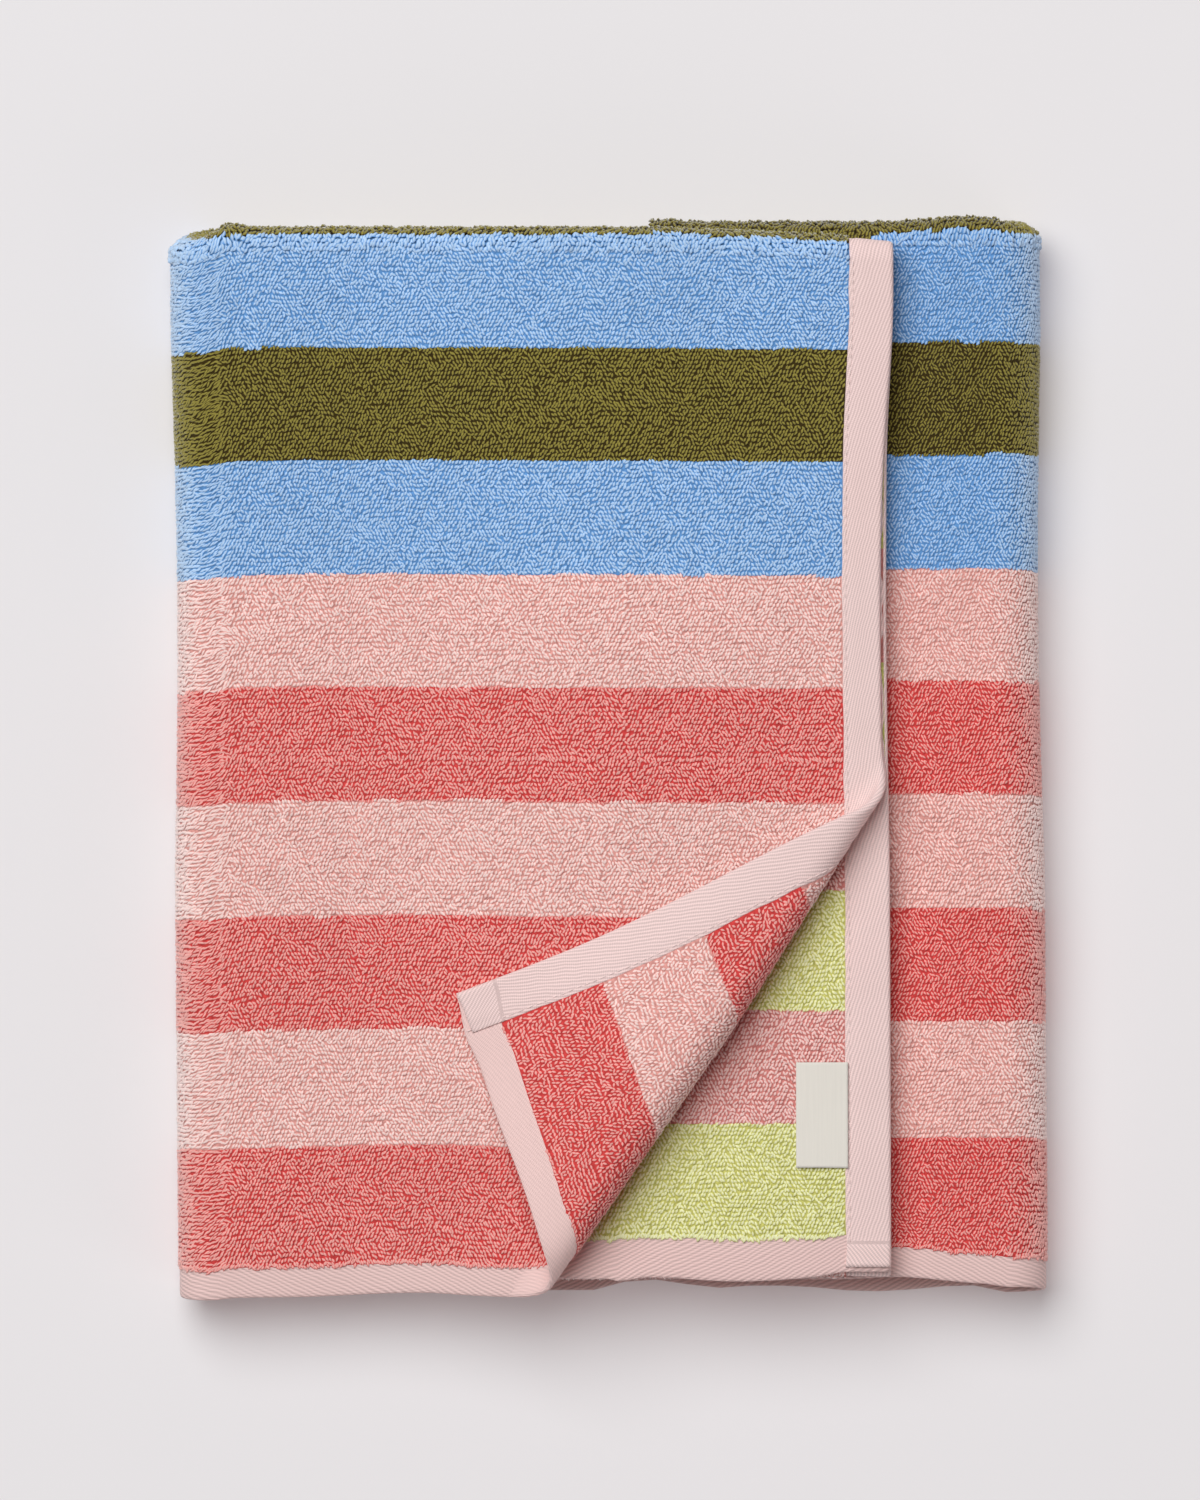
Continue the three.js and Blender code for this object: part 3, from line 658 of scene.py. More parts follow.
def corner_sheet(corner_x, sizes):
    """The turned-back corner in rows along its fold: places, distances and both sides."""
    hem_past = np.maximum(0, past_axis(corner_x, FACE_HEM_END + HEM_LINES[-1]))
    end_past = np.maximum(0, past_axis(corner_x, FACE_HEM_END))
    roll_past = np.minimum(np.pi * ROLL_FULL, hem_past)

    def between(start, end, shares):
        return start + (end - start) * shares[:, None]

    past = np.concatenate([
        between(0, roll_past, np.linspace(0, 1, 17)),
        between(roll_past, hem_past, np.linspace(0, 1, 34))[1:],
        between(hem_past, end_past, 1 - HEM_LINES[::-1] / HEM_LINES[-1])[1:],
    ])
    x = np.repeat(corner_x[None], len(past), 0)
    y = flat_y(x, past)
    distance = y - FACE_HEM_END
    thin, full = ground_reach(sizes)
    near = above(past, start=0, over=12)
    face = thin + (1.2 - thin) * near
    back = full + (thin - full) * near
    in_hem, hem = distance < HEM_LINES[-1], hem_half(distance, sizes)
    on_fold = (past < 1e-6)[..., None]
    flat = top_place(x), layer_run(y, FIRST, True)
    sides = []
    for half, turned_up in ((face, 1), (back, -1)):
        side = turned_up * np.where(in_hem, hem, half)
        sides.append(np.where(on_fold, fold_point(*flat, side), turned_point(x, y, side)))
    return x, distance, sides


def ground_mesh(sizes):
    """The woven ground and its hems as one closed sheet, turned corner included."""
    run, along, number, step = main_rows()
    places, corner_count = main_columns()
    rows, columns = len(along), len(places.x)

    def by_row(values):
        return np.repeat(values[:, None], columns, 1)

    runs, number = Run(*map(by_row, run)), by_row(number)
    wide = Place(*(np.repeat(values[None], rows, 0) for values in places))
    on_inner = wide.panel == INNER
    edge = INNER_SELVAGE + by_row(step) + GROUND_INSET
    x = np.where(on_inner, TURN_X + (edge - TURN_X) * wide.share, wide.x)
    wide = wide._replace(x=x, share=np.where(on_inner, 0, wide.share))
    # The first layer ends on the corner's fold
    first = number == FIRST_LAYER
    axis_y = flat_y(wide.x, 0.0)
    cut = first & (wide.panel == TOP) & (runs.y < axis_y) & (axis_y > FACE_HEM_END)
    runs = runs._replace(y=np.where(cut, axis_y, runs.y))
    distance = np.where(first, runs.y - FACE_HEM_END, by_row(along))
    face, back = ground_halves(wide, runs.y, number, distance, sizes)
    flap_x, flap_distance, flap_sides = corner_sheet(places.x[:corner_count], sizes)
    sides = [fold_point(wide, runs, face), fold_point(wide, runs, -back), *flap_sides]
    points = np.concatenate([side.reshape(-1, 3) for side in sides])
    up = np.arange(rows * columns).reshape(rows, columns)
    down = up + up.size
    flap_up = 2 * up.size + np.arange(flap_x.size).reshape(flap_x.shape)
    flap_down = flap_up + flap_up.size
    faces = np.concatenate([
        grid_faces(up),
        grid_faces(down, True),
        grid_faces(flap_up, True),
        grid_faces(flap_down),
        edge_faces(up[0, corner_count - 1:], down[0, corner_count - 1:], True),
        edge_faces(up[-1], down[-1]),
        edge_faces(up[:, 0], down[:, 0]),
        edge_faces(up[:, -1], down[:, -1], True),
        edge_faces(flap_up[-1], flap_down[-1], True),
        edge_faces(flap_up[:, 0], flap_down[:, 0], True),
    ])
    outer_x, outer_z = places.x[:-INNER_COLUMNS], places.z[:-INNER_COLUMNS]
    way_round = np.cumsum(np.hypot(np.diff(outer_x), np.diff(outer_z)))
    inner_part = way_round[-1] + INNER_WIDTH * np.linspace(0, 1, INNER_COLUMNS + 1)[1:]
    way_round = np.concatenate([[0], way_round, inner_part])
    across_main = np.repeat(way_round[None], rows, 0)
    across_flap = np.repeat(way_round[None, :corner_count], len(flap_x), 0)
    acrosses = [across_main, across_main, across_flap, across_flap]
    distances = [distance, distance, flap_distance, flap_distance]
    on_outside = first | (number == WIDE_TOP_TURN)
    passed = distance + on_outside * folded_early(wide, wide.x, distance)
    wider = wider_hem(TOP_SELVAGE - flap_x) * (1 - above(flap_distance, start=14, over=8))
    stripes = [passed, passed, flap_distance, flap_distance - wider]
    # Each side has its own part of the map
    boxes = [
        ((0, 0), (0.49, 0.79)), ((0.51, 0), (1, 0.79)),
        ((0, 0.81), (0.49, 1)), ((0.51, 0.81), (1, 1)),
    ]
    uv = np.concatenate([unit_map(a, d, *box) for a, d, box in zip(acrosses, distances, boxes)])
    stripe, across, along = (
        np.concatenate([part.ravel() for part in parts]) for parts in (stripes, acrosses, distances)
    )
    on_corner = np.arange(len(across)) >= 2 * up.size
    attributes = {"stripe": stripe_at(stripe), "weave": np.stack([across, along, on_corner], -1)}
    return points, faces, attributes, uv


# Terry loops


# Points of a loop: two ends, two sides, two points of the crown
LOOP_RUN = np.array([-1, 1, 0, 0, -0.58, 0.58])
LOOP_SIDE = np.array([0, 0, 1, -1, 0.1, -0.1])
LOOP_RISE = np.array([0.4, 0.4, 0.45, 0.45, 1, 1])
# How far each point lies towards the crown; the colour mixes the roots' painted shade into the pale crown by
# it
LOOP_PILE = np.array([0.1, 0.1, 0.0, 0.0, 1.0, 1.0])
LOOP_FACES = np.array([[0, 3, 4], [0, 4, 2], [3, 5, 4], [4, 5, 2], [3, 1, 5], [5, 1, 2]])


def loop_field(surface, across, along, sizes, rng, flip, loose, combed, painted_sheen_and_shade, grow):
    """Loops rooted on a surface: each is a crown of yarn between two roots."""
    count = len(across)
    half_length = grow * sizes.loop_length / MM / 2 * rng.uniform(0.85, 1.12, count)
    half_length = half_length * (1 + 0.45 * combed)
    half_width = grow * sizes.loop_width / MM / 2 * rng.uniform(0.88, 1.12, count)
    half_width = half_width * (1 - 0.15 * combed)
    height = sizes.loop_height / MM * rng.uniform(0.88, 1.08, count)
    height = height * (1 + (grow - 1) * rng.uniform(-0.5, 2.2, count))
    patches = soft_noise(across, along, 6.5, SEED + 5)
    patches = patches + 0.6 * soft_noise(across, along, 2.2, SEED + 6)
    lean = np.where(patches + 0.3 + rng.normal(0, 0.18, count) > 0, -1, 1)
    yaw = lean * np.radians(rng.normal(57, 11, count))
    tangle = 70 * soft_noise(across, along, 4.5, SEED + 7)
    yaw = yaw + loose * np.radians(tangle + rng.normal(0, 16, count))
    yaw = yaw * (1 - combed) - combed * np.radians(rng.normal(26, 14, count))
    across = across + rng.normal(0, 0.13, count) + 0.2 * soft_noise(across, along, 2.6, SEED + 12)
    along = along + rng.normal(0, 0.17, count) + 0.35 * soft_noise(across, along, 2.6, SEED + 13)
    run = LOOP_RUN * half_length[:, None]
    side = LOOP_SIDE * half_width[:, None]
    root = sizes.ground_thickness / MM / 2 - 0.1
    share = LOOP_RISE + rng.normal(0, 0.05, (count, 6))
    rise = root + (height[:, None] - root) * share
    c, s = np.cos(yaw)[:, None], np.sin(yaw)[:, None]
    a = across[:, None] + run * c - side * s
    b = along[:, None] + run * s + side * c
    points = surface(a, b, rise)
    faces = (LOOP_FACES[None] + 6 * np.arange(count)[:, None, None]).reshape(-1, 3)
    faces = faces[:, ::-1] if flip else faces
    # Painted highlight: loops on the right turn stand on end and catch the light. Painted sheen raises the
    # crowns' share where the cloth turns steeply, and painted shade lowers it on the inner panel
    tone_and_highlight = rng.normal(0, 1, count) + 3.5 * painted_sheen_and_shade * (across > UNDER_END) * (painted_sheen_and_shade > 0)
    pile = np.tile(LOOP_PILE, count) + 0.45 * np.repeat(painted_sheen_and_shade * np.ones(count), 6)
    return points.reshape(-1, 3), faces, pile, np.repeat(tone_and_highlight, 6), a.ravel(), b.ravel()


def loop_grid(across_range, along_range, sizes, scale=1.0):
    """Roots in rows, every other row half a step on, and wandering a little."""
    step_across, step_along = sizes.loop_across / MM * scale, sizes.loop_along / MM * scale
    columns = np.arange(across_range[0], across_range[1], step_across)
    rows = np.arange(along_range[0], along_range[1], step_along)
    a, b = np.meshgrid(columns, rows, indexing="ij")
    a = a + (np.arange(len(rows)) % 2) * step_across / 2
    a, b = a.ravel(), b.ravel()
    wander = 0.5 * np.minimum(1, (b - along_range[0]) / 4)
    b = b + wander * soft_noise(a, b, 11, SEED + 11)
    return a, b


def fringe(across_range, hem, rng):
    """Roots of the last loops, which hang over the hem."""
    a = np.arange(across_range[0], across_range[1], 0.8)
    return a, hem + rng.uniform(-0.9, 0.2, len(a))


# Outside of the bundle: across is the way round it at the height of the loops
LOOP_MIDDLE = 1.1
OUTER_RADIUS = TURN_RADIUS + FIRST + LOOP_MIDDLE
OUTER_TURN = np.pi * OUTER_RADIUS
TOP_PANEL_END = TOP_SELVAGE + TURN_X
LEFT_TURN_END = TOP_PANEL_END + OUTER_TURN
UNDER_END = LEFT_TURN_END + 2 * TURN_X
RIGHT_TURN_END = UNDER_END + OUTER_TURN
END_RADIUS = FIRST + LOOP_MIDDLE
END_TURN = np.pi * END_RADIUS
FOOT_RADIUS = TIGHT_TURN + LOOP_MIDDLE


def outside_point(across, along, rise):
    """A point over the first layer's face, by the way round the bundle and along it."""
    place = outside_place(across)
    flat = along < FIRST_LENGTH
    y = FACE_HEM_END + along
    turning = top_turn(np.clip((along - FIRST_LENGTH) / END_RADIUS, 0, np.pi))
    run = Run(*(np.where(flat, *pair) for pair in zip((y, FIRST, 0, 1), turning)))
    points = fold_point(place, run, rise)
    turned = (place.panel == TOP) & flat & (past_axis(place.x, y) > 0)
    return np.where(turned[..., None], turned_point(place.x, y, rise), points)


def outside_place(across):
    """A place on the outside of the bundle, by the way round it."""
    top = top_place(TOP_SELVAGE - across)
    left = turn_place(-1, np.clip((across - TOP_PANEL_END) / OUTER_RADIUS, 0, np.pi))
    under = level_place(-TURN_X + across - LEFT_TURN_END, BOTTOM)
    right = turn_place(1, np.pi - np.clip((across - UNDER_END) / OUTER_RADIUS, 0, np.pi))
    inner = level_place(TURN_X - (across - RIGHT_TURN_END), INNER)
    ends = (TOP_PANEL_END, LEFT_TURN_END, UNDER_END, RIGHT_TURN_END)
    tests = [across < end for end in ends]
    sides = zip(top, left, under, right, inner)
    return Place(*(np.select(tests, parts[:4], parts[4]) for parts in sides))


def outside_along(along):
    """Distance along the cloth for a place on the outside of the bundle."""
    past_turn = np.maximum(0, along - FIRST_LENGTH)
    return np.minimum(along, FIRST_LENGTH) + past_turn * WIDE_TURN / END_RADIUS


def top_fold_point(across, along, rise):
    """A point over the top fold, where the loops stand a little higher."""
    return outside_point(across, along, rise + 0.6 * above(along, start=FIRST_LENGTH, over=3))


def flap_back_point(across, along, rise):
    """A point over the reverse of the turned-back corner."""
    return turned_point(TOP_SELVAGE - across, FACE_HEM_END + along, -rise)


def second_layer_point(across, along, rise):
    """A point over the reverse of the second layer, counted from its hem."""
    place = top_place(TOP_SELVAGE - across)
    return fold_point(place, layer_run(REVERSE_HEM_END + along, SECOND, False), -rise)


def bottom_turn_point(across, along, rise):
    """A point over the tight turn between the fourth layer and the third."""
    run = bottom_turn(np.clip(along / FOOT_RADIUS, 0.0, np.pi))
    return fold_point(outside_place(across), run, rise)


def is_covered(x, y, margin):
    """Whether the turned-back corner lies over a place of the top layer."""
    past = np.pi * ROLL_FULL - past_axis(x, y) / FLAP_SHRINK
    flap_x, flap_y = from_axis(along_axis(x, y), past)
    return (flap_x < TOP_SELVAGE - margin) & (flap_y > FACE_HEM_END + margin)


Field = namedtuple(
    "Field", "name surface across along shows distance hem flip loose grow spread combed",
    defaults=(None, True, 0, 1.0, 1.0, False),
)


def loop_pieces(sizes, material):
    """Every field of loops, as one piece each."""
    rng = np.random.default_rng(SEED + 90)
    hem, second_hem = FACE_HEM_WIDTH + 0.9, REVERSE_HEM_WIDTH + 0.5
    edge, half_way = 15.2, 175.0

    def on_top(a, b):
        x, y = TOP_SELVAGE - a, FACE_HEM_END + b
        # Into the roll's mouth by the hem, and not under the corner
        past = past_axis(x, y)
        in_reach = (past < 2) | (past < 14) & (b < hem + 12)
        return in_reach & ~(is_covered(x, y, 6.0) & (past < 0) & (b > hem + 8))

    def on_corner(a, b):
        shows = b > FACE_HEM_WIDTH + 0.5 + wider_hem(a)
        return shows & (past_axis(TOP_SELVAGE - a, FACE_HEM_END + b) > -3)

    def under_corner(a, b):
        return past_axis(TOP_SELVAGE - a, REVERSE_HEM_END + b) > -16

    def anywhere(a, b):
        return np.full(a.shape, True)

    def at_foot(b):
        return FIRST_LENGTH + TOP_TURN_LENGTH + FOURTH_LENGTH + b * TIGHT_TURN / FOOT_RADIUS

    top = edge, TOP_PANEL_END - 2
    left = TOP_PANEL_END - 2, LEFT_TURN_END
    right = UNDER_END, RIGHT_TURN_END + TURN_X - 74
    fields = [
        Field("top_lower", outside_point, top, (hem, half_way), on_top, outside_along, hem, combed=True),
        Field("top_upper", outside_point, top, (half_way, FIRST_LENGTH), on_top, outside_along, combed=True),
        Field(
            "left_side", outside_point, left, (hem, FIRST_LENGTH), anywhere, outside_along, hem, combed=True,
        ),
        Field("right_side", outside_point, right, (hem, FIRST_LENGTH), anywhere, outside_along, hem),
        Field(
            "top_fold", top_fold_point, (edge, RIGHT_TURN_END + TURN_X - 13.6),
            (FIRST_LENGTH, FIRST_LENGTH + END_TURN), anywhere, outside_along, loose=0.3, grow=1.25,
        ),
        Field(
            "corner_back", flap_back_point, (edge + 0.3, 125), (hem - 0.2, 170), on_corner,
            lambda b: b, flip=False, loose=1.0, spread=1.07,
        ),
        Field(
            "second_layer", second_layer_point, (edge, 128), (second_hem, 165), under_corner,
            lambda b: CLOTH_LENGTH - b, second_hem,
        ),
        Field(
            "bottom_fold", bottom_turn_point, (edge, RIGHT_TURN_END + 20), (-1.2, np.pi * FOOT_RADIUS),
            anywhere, at_foot, flip=False, loose=0.5, grow=1.25,
        ),
    ]
    for field in fields:
        a, b = loop_grid(field.across, field.along, sizes, field.spread)
        if field.hem:
            fringe_a, fringe_b = fringe(field.across, field.hem, rng)
            a, b = np.concatenate([a, fringe_a]), np.concatenate([b, fringe_b])
        kept = field.shows(a, b)
        a, b = a[kept], b[kept]
        passed = field.distance(b)
        combed = smooth((a - TOP_PANEL_END + 7) / 9) if field.combed else 0.0
        painted_sheen_and_shade = 0.0
        if field.distance is outside_along:
            place = outside_place(a)
            passed = passed + folded_early(place, place.x, b)
            # Painted sheen where the cloth turns steeply away from the top, and painted shade on the inner
            # panel past the right turn
            painted_sheen_and_shade = smooth((1 - place.nz) / 0.5) - 0.35 * smooth((a - RIGHT_TURN_END + 7) / 14)
        points, faces, pile, tone_and_highlight, across, along = loop_field(
            field.surface, a, b, sizes, rng, field.flip, field.loose, combed, painted_sheen_and_shade, field.grow,
        )
        stripe = np.clip(np.repeat(stripe_at(passed), 6), 0.02, STRIPES - 0.02)
        attributes = {"stripe": stripe, "pile": pile, "tone_and_highlight": tone_and_highlight}
        uv = unit_map(across, along, (0.002, 0.002), (0.998, 0.998))
        name = "terry_loops_" + field.name
        new_piece(name, points, faces.tolist(), attributes, uv, [material])


# Binding tape


TURNED_TWILL = np.radians(-55.0)


def doubled(a, h, middle):
    """A line in to the tape's fold, round its middle, and back on the other side."""
    return np.concatenate([np.stack([a, h], -1), middle, np.stack([a, -h], -1)[::-1]])


def tape_outline(sizes):
    """The folded tape's outline: distance in from the bound edge, and height."""
    width, thick = sizes.tape_width / MM, sizes.tape_thickness / MM
    half = PILE_REACH - 0.05
    a = np.array([width, width - 0.3, width - 1.3, width - 2.4, 9, 6, 3.5, 1.6])
    h = np.array([0.72, 0.86, 0.78, 0.98, 1.0, 1.0, 1.0, 0.99]) * half
    nose = np.linspace(np.pi / 2, -np.pi / 2, 7)
    nose = np.stack([1.1 - 1.1 * np.cos(nose), np.sin(nose) * half * 0.97], -1)
    inner_a = np.array([width, width - 2.4, 6, 1.3])
    inner_h = np.array([0.3, 0.55, 0.6, 0.5]) * half
    return doubled(a, h, nose), doubled(inner_a, -inner_h, [[thick, 0.0]])


def swept_tape(name, stations, sizes, material, uneven):
    """One folded tape along stations, each a function of distance in, and height."""
    outer, inner = tape_outline(sizes)
    outline = np.concatenate([outer, inner])
    rings = []
    for along, point in stations:
        wobble = uneven * soft_noise(along, 0.0, 9, SEED + 20)
        a = outline[:, 0] + np.where(outline[:, 0] > 10, 0.25 * wobble, 0)
        h = outline[:, 1] * (1 + 0.05 * uneven * soft_noise(along, outline[:, 0], 5, SEED + 21))
        # The ends of the tape are turned in, and so thicker
        single = above(along, start=13, over=1.3) * below(along, start=CLOTH_LENGTH - 9, over=1.3)
        rings.append(point(a, h * (1.32 - 0.32 * single)))
    index = np.arange(len(rings) * len(outline)).reshape(len(rings), len(outline))
    faces = ring_faces(index).tolist()
    # Both ends are closed strip by strip between the outer and the inner line
    last, steps = len(outline) - 1, (len(inner) - 1) / (len(outer) - 1)
    partner = [last - round(k * steps) for k in range(len(outer))]
    for ring, flip in ((index[0], True), (index[-1], False)):
        for k in range(len(outer) - 1):
            face = [ring[k], ring[k + 1], ring[partner[k + 1]], ring[partner[k]]]
            face = list(dict.fromkeys(int(v) for v in face))
            faces.append(face[::-1] if flip else face)
    way_round = np.concatenate([[0], np.cumsum(np.hypot(*np.diff(outline, axis=0).T))])
    across = np.tile(way_round, len(rings))
    along = np.repeat([along for along, _ in stations], len(outline))
    # The twill runs the other way on the tape's turned-in ends
    turned = (along < 13.6) | (along > CLOTH_LENGTH - 9.6)
    c, s = np.cos(TURNED_TWILL), np.sin(TURNED_TWILL)
    other_way = [across * c - along * s, across * s + along * c, 0 * along]
    weave = np.where(turned[None], other_way, [across, along, 0 * along])
    uv = unit_map(across, along)
    points = np.concatenate(rings)
    return new_piece(name, points, faces, {"weave": weave.T}, uv, [material])


def outer_stations():
    """The outer binding's path: the corner, then every layer's edge."""

    def slanted(y):
        slant = 0.19 * (1 - above(y, start=FACE_HEM_END, over=16))
        return lambda a, h: top_layer_point(TOP_SELVAGE - a, y + slant * a, h)

    def edge(run):
        return lambda a, h: fold_point(top_place(TOP_SELVAGE - a), run, h)

    def round_turn(at, turn, radius, angles):
        return [(at + angle * radius, edge(turn(angle))) for angle in angles]

    def on_layer(at, layer, faces_up, start, rows):
        return [(at + abs(y - start), edge(layer_run(y, layer, faces_up))) for y in rows]

    half_round = np.linspace(0, np.pi, 9)[1:]
    footwards = np.linspace(TOP_TURN_Y, BOTTOM_TURN_Y, 60)[1:]
    upwards = np.linspace(BOTTOM_TURN_Y, TOP_TURN_Y, 60)[1:]
    hidden, shown = np.linspace(TOP_TURN_Y, 10, 40)[1:], np.arange(8.7, REVERSE_HEM_END + 0.5, -1.3)
    fourth = FIRST_LENGTH + TOP_TURN_LENGTH
    foot = fourth + FOURTH_LENGTH
    third = foot + TIGHT_TURN_LENGTH
    inner_top = third + FOURTH_LENGTH
    second = inner_top + TIGHT_TURN_LENGTH
    return [
        *((y - FACE_HEM_END, slanted(y)) for y in np.arange(FACE_HEM_END, TOP_TURN_Y, 1.3)),
        *round_turn(FIRST_LENGTH, top_turn, WIDE_TURN, np.linspace(0, np.pi, 14)),
        *on_layer(fourth, FOURTH, False, TOP_TURN_Y, footwards),
        *round_turn(foot, bottom_turn, TIGHT_TURN, half_round),
        *on_layer(third, THIRD, True, BOTTOM_TURN_Y, upwards),
        *round_turn(inner_top, inner_top_turn, TIGHT_TURN, half_round),
        *on_layer(second, SECOND, False, TOP_TURN_Y, [*hidden, *shown]),
    ]


def inner_stations():
    """The inner binding's path along the stepped inner edge."""
    run, along, _, step = main_rows()

    def edge(row, inset, press):
        return lambda a, h: fold_point(level_place(inset + a, INNER), row, h * press)

    # Pressed flat on the fold, where the loops close over it
    on_fold = (along > FIRST_LENGTH - 3) & (along < FIRST_LENGTH + TOP_TURN_LENGTH + 3)
    presses = np.where(on_fold, 0.45, 1.0)
    rows = zip(along, zip(*run), INNER_SELVAGE + step, presses)
    return [(distance, edge(Run(*row), inset, press)) for distance, row, inset, press in rows]


# Stitches


THREAD_SIDES = 6


def stitch_line(point, start, end, sizes, rng):
    """Stitches along a line: point takes distance along, sideways and height."""
    long, gap, wide = (v / MM for v in (sizes.stitch_length, sizes.stitch_gap, sizes.thread_width))
    around = np.linspace(0, 2 * np.pi, THREAD_SIDES, endpoint=False)
    lengths = np.array([0, 0.12, 0.5, 0.88, 1])[:, None]
    radius = wide / 2 * np.array([0.25, 0.8, 1, 0.8, 0.25])[:, None]
    sink = wide * np.array([-0.5, 0.05, 0.2, 0.05, -0.5])[:, None]
    rings = np.arange(len(lengths) * THREAD_SIDES).reshape(len(lengths), THREAD_SIDES)
    stitch_faces = [*ring_faces(rings), rings[0][::-1], rings[-1]]
    points, faces = [], []
    for number, begin in enumerate(np.arange(start, end - long, long + gap)):
        side = rng.normal(0, 0.06)
        slant = rng.normal(0.12, 0.05)
        b = np.repeat(begin + lengths * long, THREAD_SIDES, 1)
        a = side + slant * (lengths - 0.5) + radius * np.cos(around)
        points.append(point(b, a, sink + radius * np.sin(around)).reshape(-1, 3))
        faces += [(face + rings.size * number).tolist() for face in stitch_faces]
    return np.concatenate(points), faces


# Materials


def node(tree, kind, *values, inputs=None, **settings):
    """Adds a node with its settings; a node or socket is linked to its input, a value is set."""
    made = tree.nodes.new("ShaderNode" + kind)
    for key, value in settings.items():
        setattr(made, key, value)
    for key, value in (*enumerate(values), *(inputs or {}).items()):
        if isinstance(value, bpy.types.Node):
            value = value.outputs[0]
        if isinstance(value, bpy.types.NodeSocket):
            tree.links.new(value, made.inputs[key])
        else:
            made.inputs[key].default_value = value
    return made


def new_material(name):
    """An empty material and its node tree."""
    material = bpy.data.materials.new(name)
    material.use_nodes = True
    tree = material.node_tree
    tree.nodes.clear()
    return material, tree


def finish_cotton(tree, colour, bump, roughness, sheen):
    """Cotton: rough, with the soft sheen of loose fibre ends."""
    shader = node(tree, "BsdfPrincipled", inputs={
        "Base Color": colour, "Roughness": roughness, "IOR": 1.53, "Specular IOR Level": 0.2,
        "Sheen Weight": sheen, "Sheen Roughness": 0.5, "Normal": bump,
    })
    node(tree, "OutputMaterial", shader)


def rgba(colour):
    """A colour that lets no light through."""
    return (*colour, 1.0)


def stripe_colour(tree, colours):
    """Colour of the dyed yarn: four groups of stripes, each of two colours in turn."""
    stripe = node(tree, "Attribute", attribute_name="stripe").outputs["Fac"]
    step = node(tree, "Math", stripe, operation="FLOOR")
    odd = node(tree, "Math", step, 2.0, operation="FLOORED_MODULO")
    groups = [
        (0, colours.red, colours.pink), (6, colours.blue, colours.olive),
        (14, colours.pink, colours.red), (25, colours.pink_in_painted_shade, colours.lime),
    ]
    colour = rgba(colours.red)
    for first, even_yarn, odd_yarn in groups:
        yarns = {"Factor": odd, 6: rgba(even_yarn), 7: rgba(odd_yarn)}
        pair = node(tree, "Mix", inputs=yarns, data_type="RGBA").outputs[2]
        passed = node(tree, "Math", step, first - 0.5, operation="GREATER_THAN")
        mixed = node(tree, "Mix", inputs={"Factor": passed, 6: colour, 7: pair}, data_type="RGBA")
        colour = mixed.outputs[2]
    return colour, stripe


def painted_root_shade(tree, colour):
    """Painted shade: deeper and more saturated, as light is passed from loop to loop down to the roots."""
    deep = node(tree, "Gamma", colour, 2.38)
    return node(tree, "HueSaturation", 0.494, 1.05, inputs={"Color": deep}).outputs[0]


def terry_loop_material(colours):
    """Dyed cotton terry loops: pale fuzzy crowns over roots deepened with painted shade."""
    material, tree = new_material("dyed cotton terry loops")
    place = node(tree, "TexCoord").outputs["Object"]
    colour, _ = stripe_colour(tree, colours)
    pile, tone_and_highlight = (node(tree, "Attribute", attribute_name=key).outputs["Fac"] for key in ("pile", "tone_and_highlight"))
    # Painted shade at the roots, fading into the pale crowns
    root_shade_to_crown = node(tree, "MapRange", pile, 0.2, 0.8, interpolation_type="SMOOTHSTEP")
    yarns = {"Factor": root_shade_to_crown, 6: painted_root_shade(tree, colour), 7: colour}
    yarn = node(tree, "Mix", inputs=yarns, data_type="RGBA").outputs[2]
    # Slow drift of the dye over a hand's breadth
    drift = node(tree, "TexNoise", inputs={"Vector": place, "Scale": 14.0, "Detail": 2.0})
    # Each loop's random tone, with the painted highlight of the right turn
    value = node(tree, "Math", tone_and_highlight, 0.045, 0.93, operation="MULTIPLY_ADD")
    value = node(tree, "Math", drift, 0.14, value, operation="MULTIPLY_ADD")
    yarn = node(tree, "HueSaturation", inputs={"Value": value, "Color": yarn})
    # Fibres on the yarn, 0.35 mm apart
    fibre = node(tree, "TexNoise", inputs={"Vector": place, "Scale": 2900.0, "Detail": 1.0})
    bump = node(tree, "Bump", inputs={"Height": fibre, "Strength": 0.35, "Distance": 0.00015})
    finish_cotton(tree, yarn, bump, 0.92, 0.55)
    return material


def twill_height(tree, place, spacing, slant, thread):
    """Twill lines at a slant to the cloth's length, broken into thread nubs."""
    weave = node(tree, "Attribute", attribute_name="weave").outputs["Vector"]
    across, along, reverse = node(tree, "SeparateXYZ", weave).outputs
    turn = np.radians(slant)
    waver = node(tree, "TexNoise", inputs={"Vector": place, "Scale": 160.0, "Detail": 1.0})
    line = node(tree, "Math", across, float(np.cos(turn)) / spacing, operation="MULTIPLY")
    line = node(tree, "Math", along, float(np.sin(turn)) / spacing, line, operation="MULTIPLY_ADD")
    line = node(tree, "Math", waver, 0.8, line, operation="MULTIPLY_ADD")
    nub = node(tree, "Math", along, 1.0 / thread, operation="MULTIPLY")
    nub = node(tree, "Math", line, 0.5, nub, operation="MULTIPLY_ADD")
    waves = []
    for turns in (line, nub):
        wave = node(tree, "Math", turns, 2 * np.pi, operation="MULTIPLY")
        wave = node(tree, "Math", wave, operation="SINE")
        waves.append(node(tree, "Math", wave, 0.5, 0.5, operation="MULTIPLY_ADD"))
    # On the reverse the ribs hardly show
    ribs = node(tree, "Math", reverse, -0.5, 0.75, operation="MULTIPLY_ADD")
    nubs = node(tree, "Math", reverse, 0.3, 0.35, operation="MULTIPLY_ADD")
    ridge = node(tree, "Math", waves[0], ribs, operation="MULTIPLY")
    return node(tree, "Math", waves[1], nubs, ridge, operation="MULTIPLY_ADD"), reverse


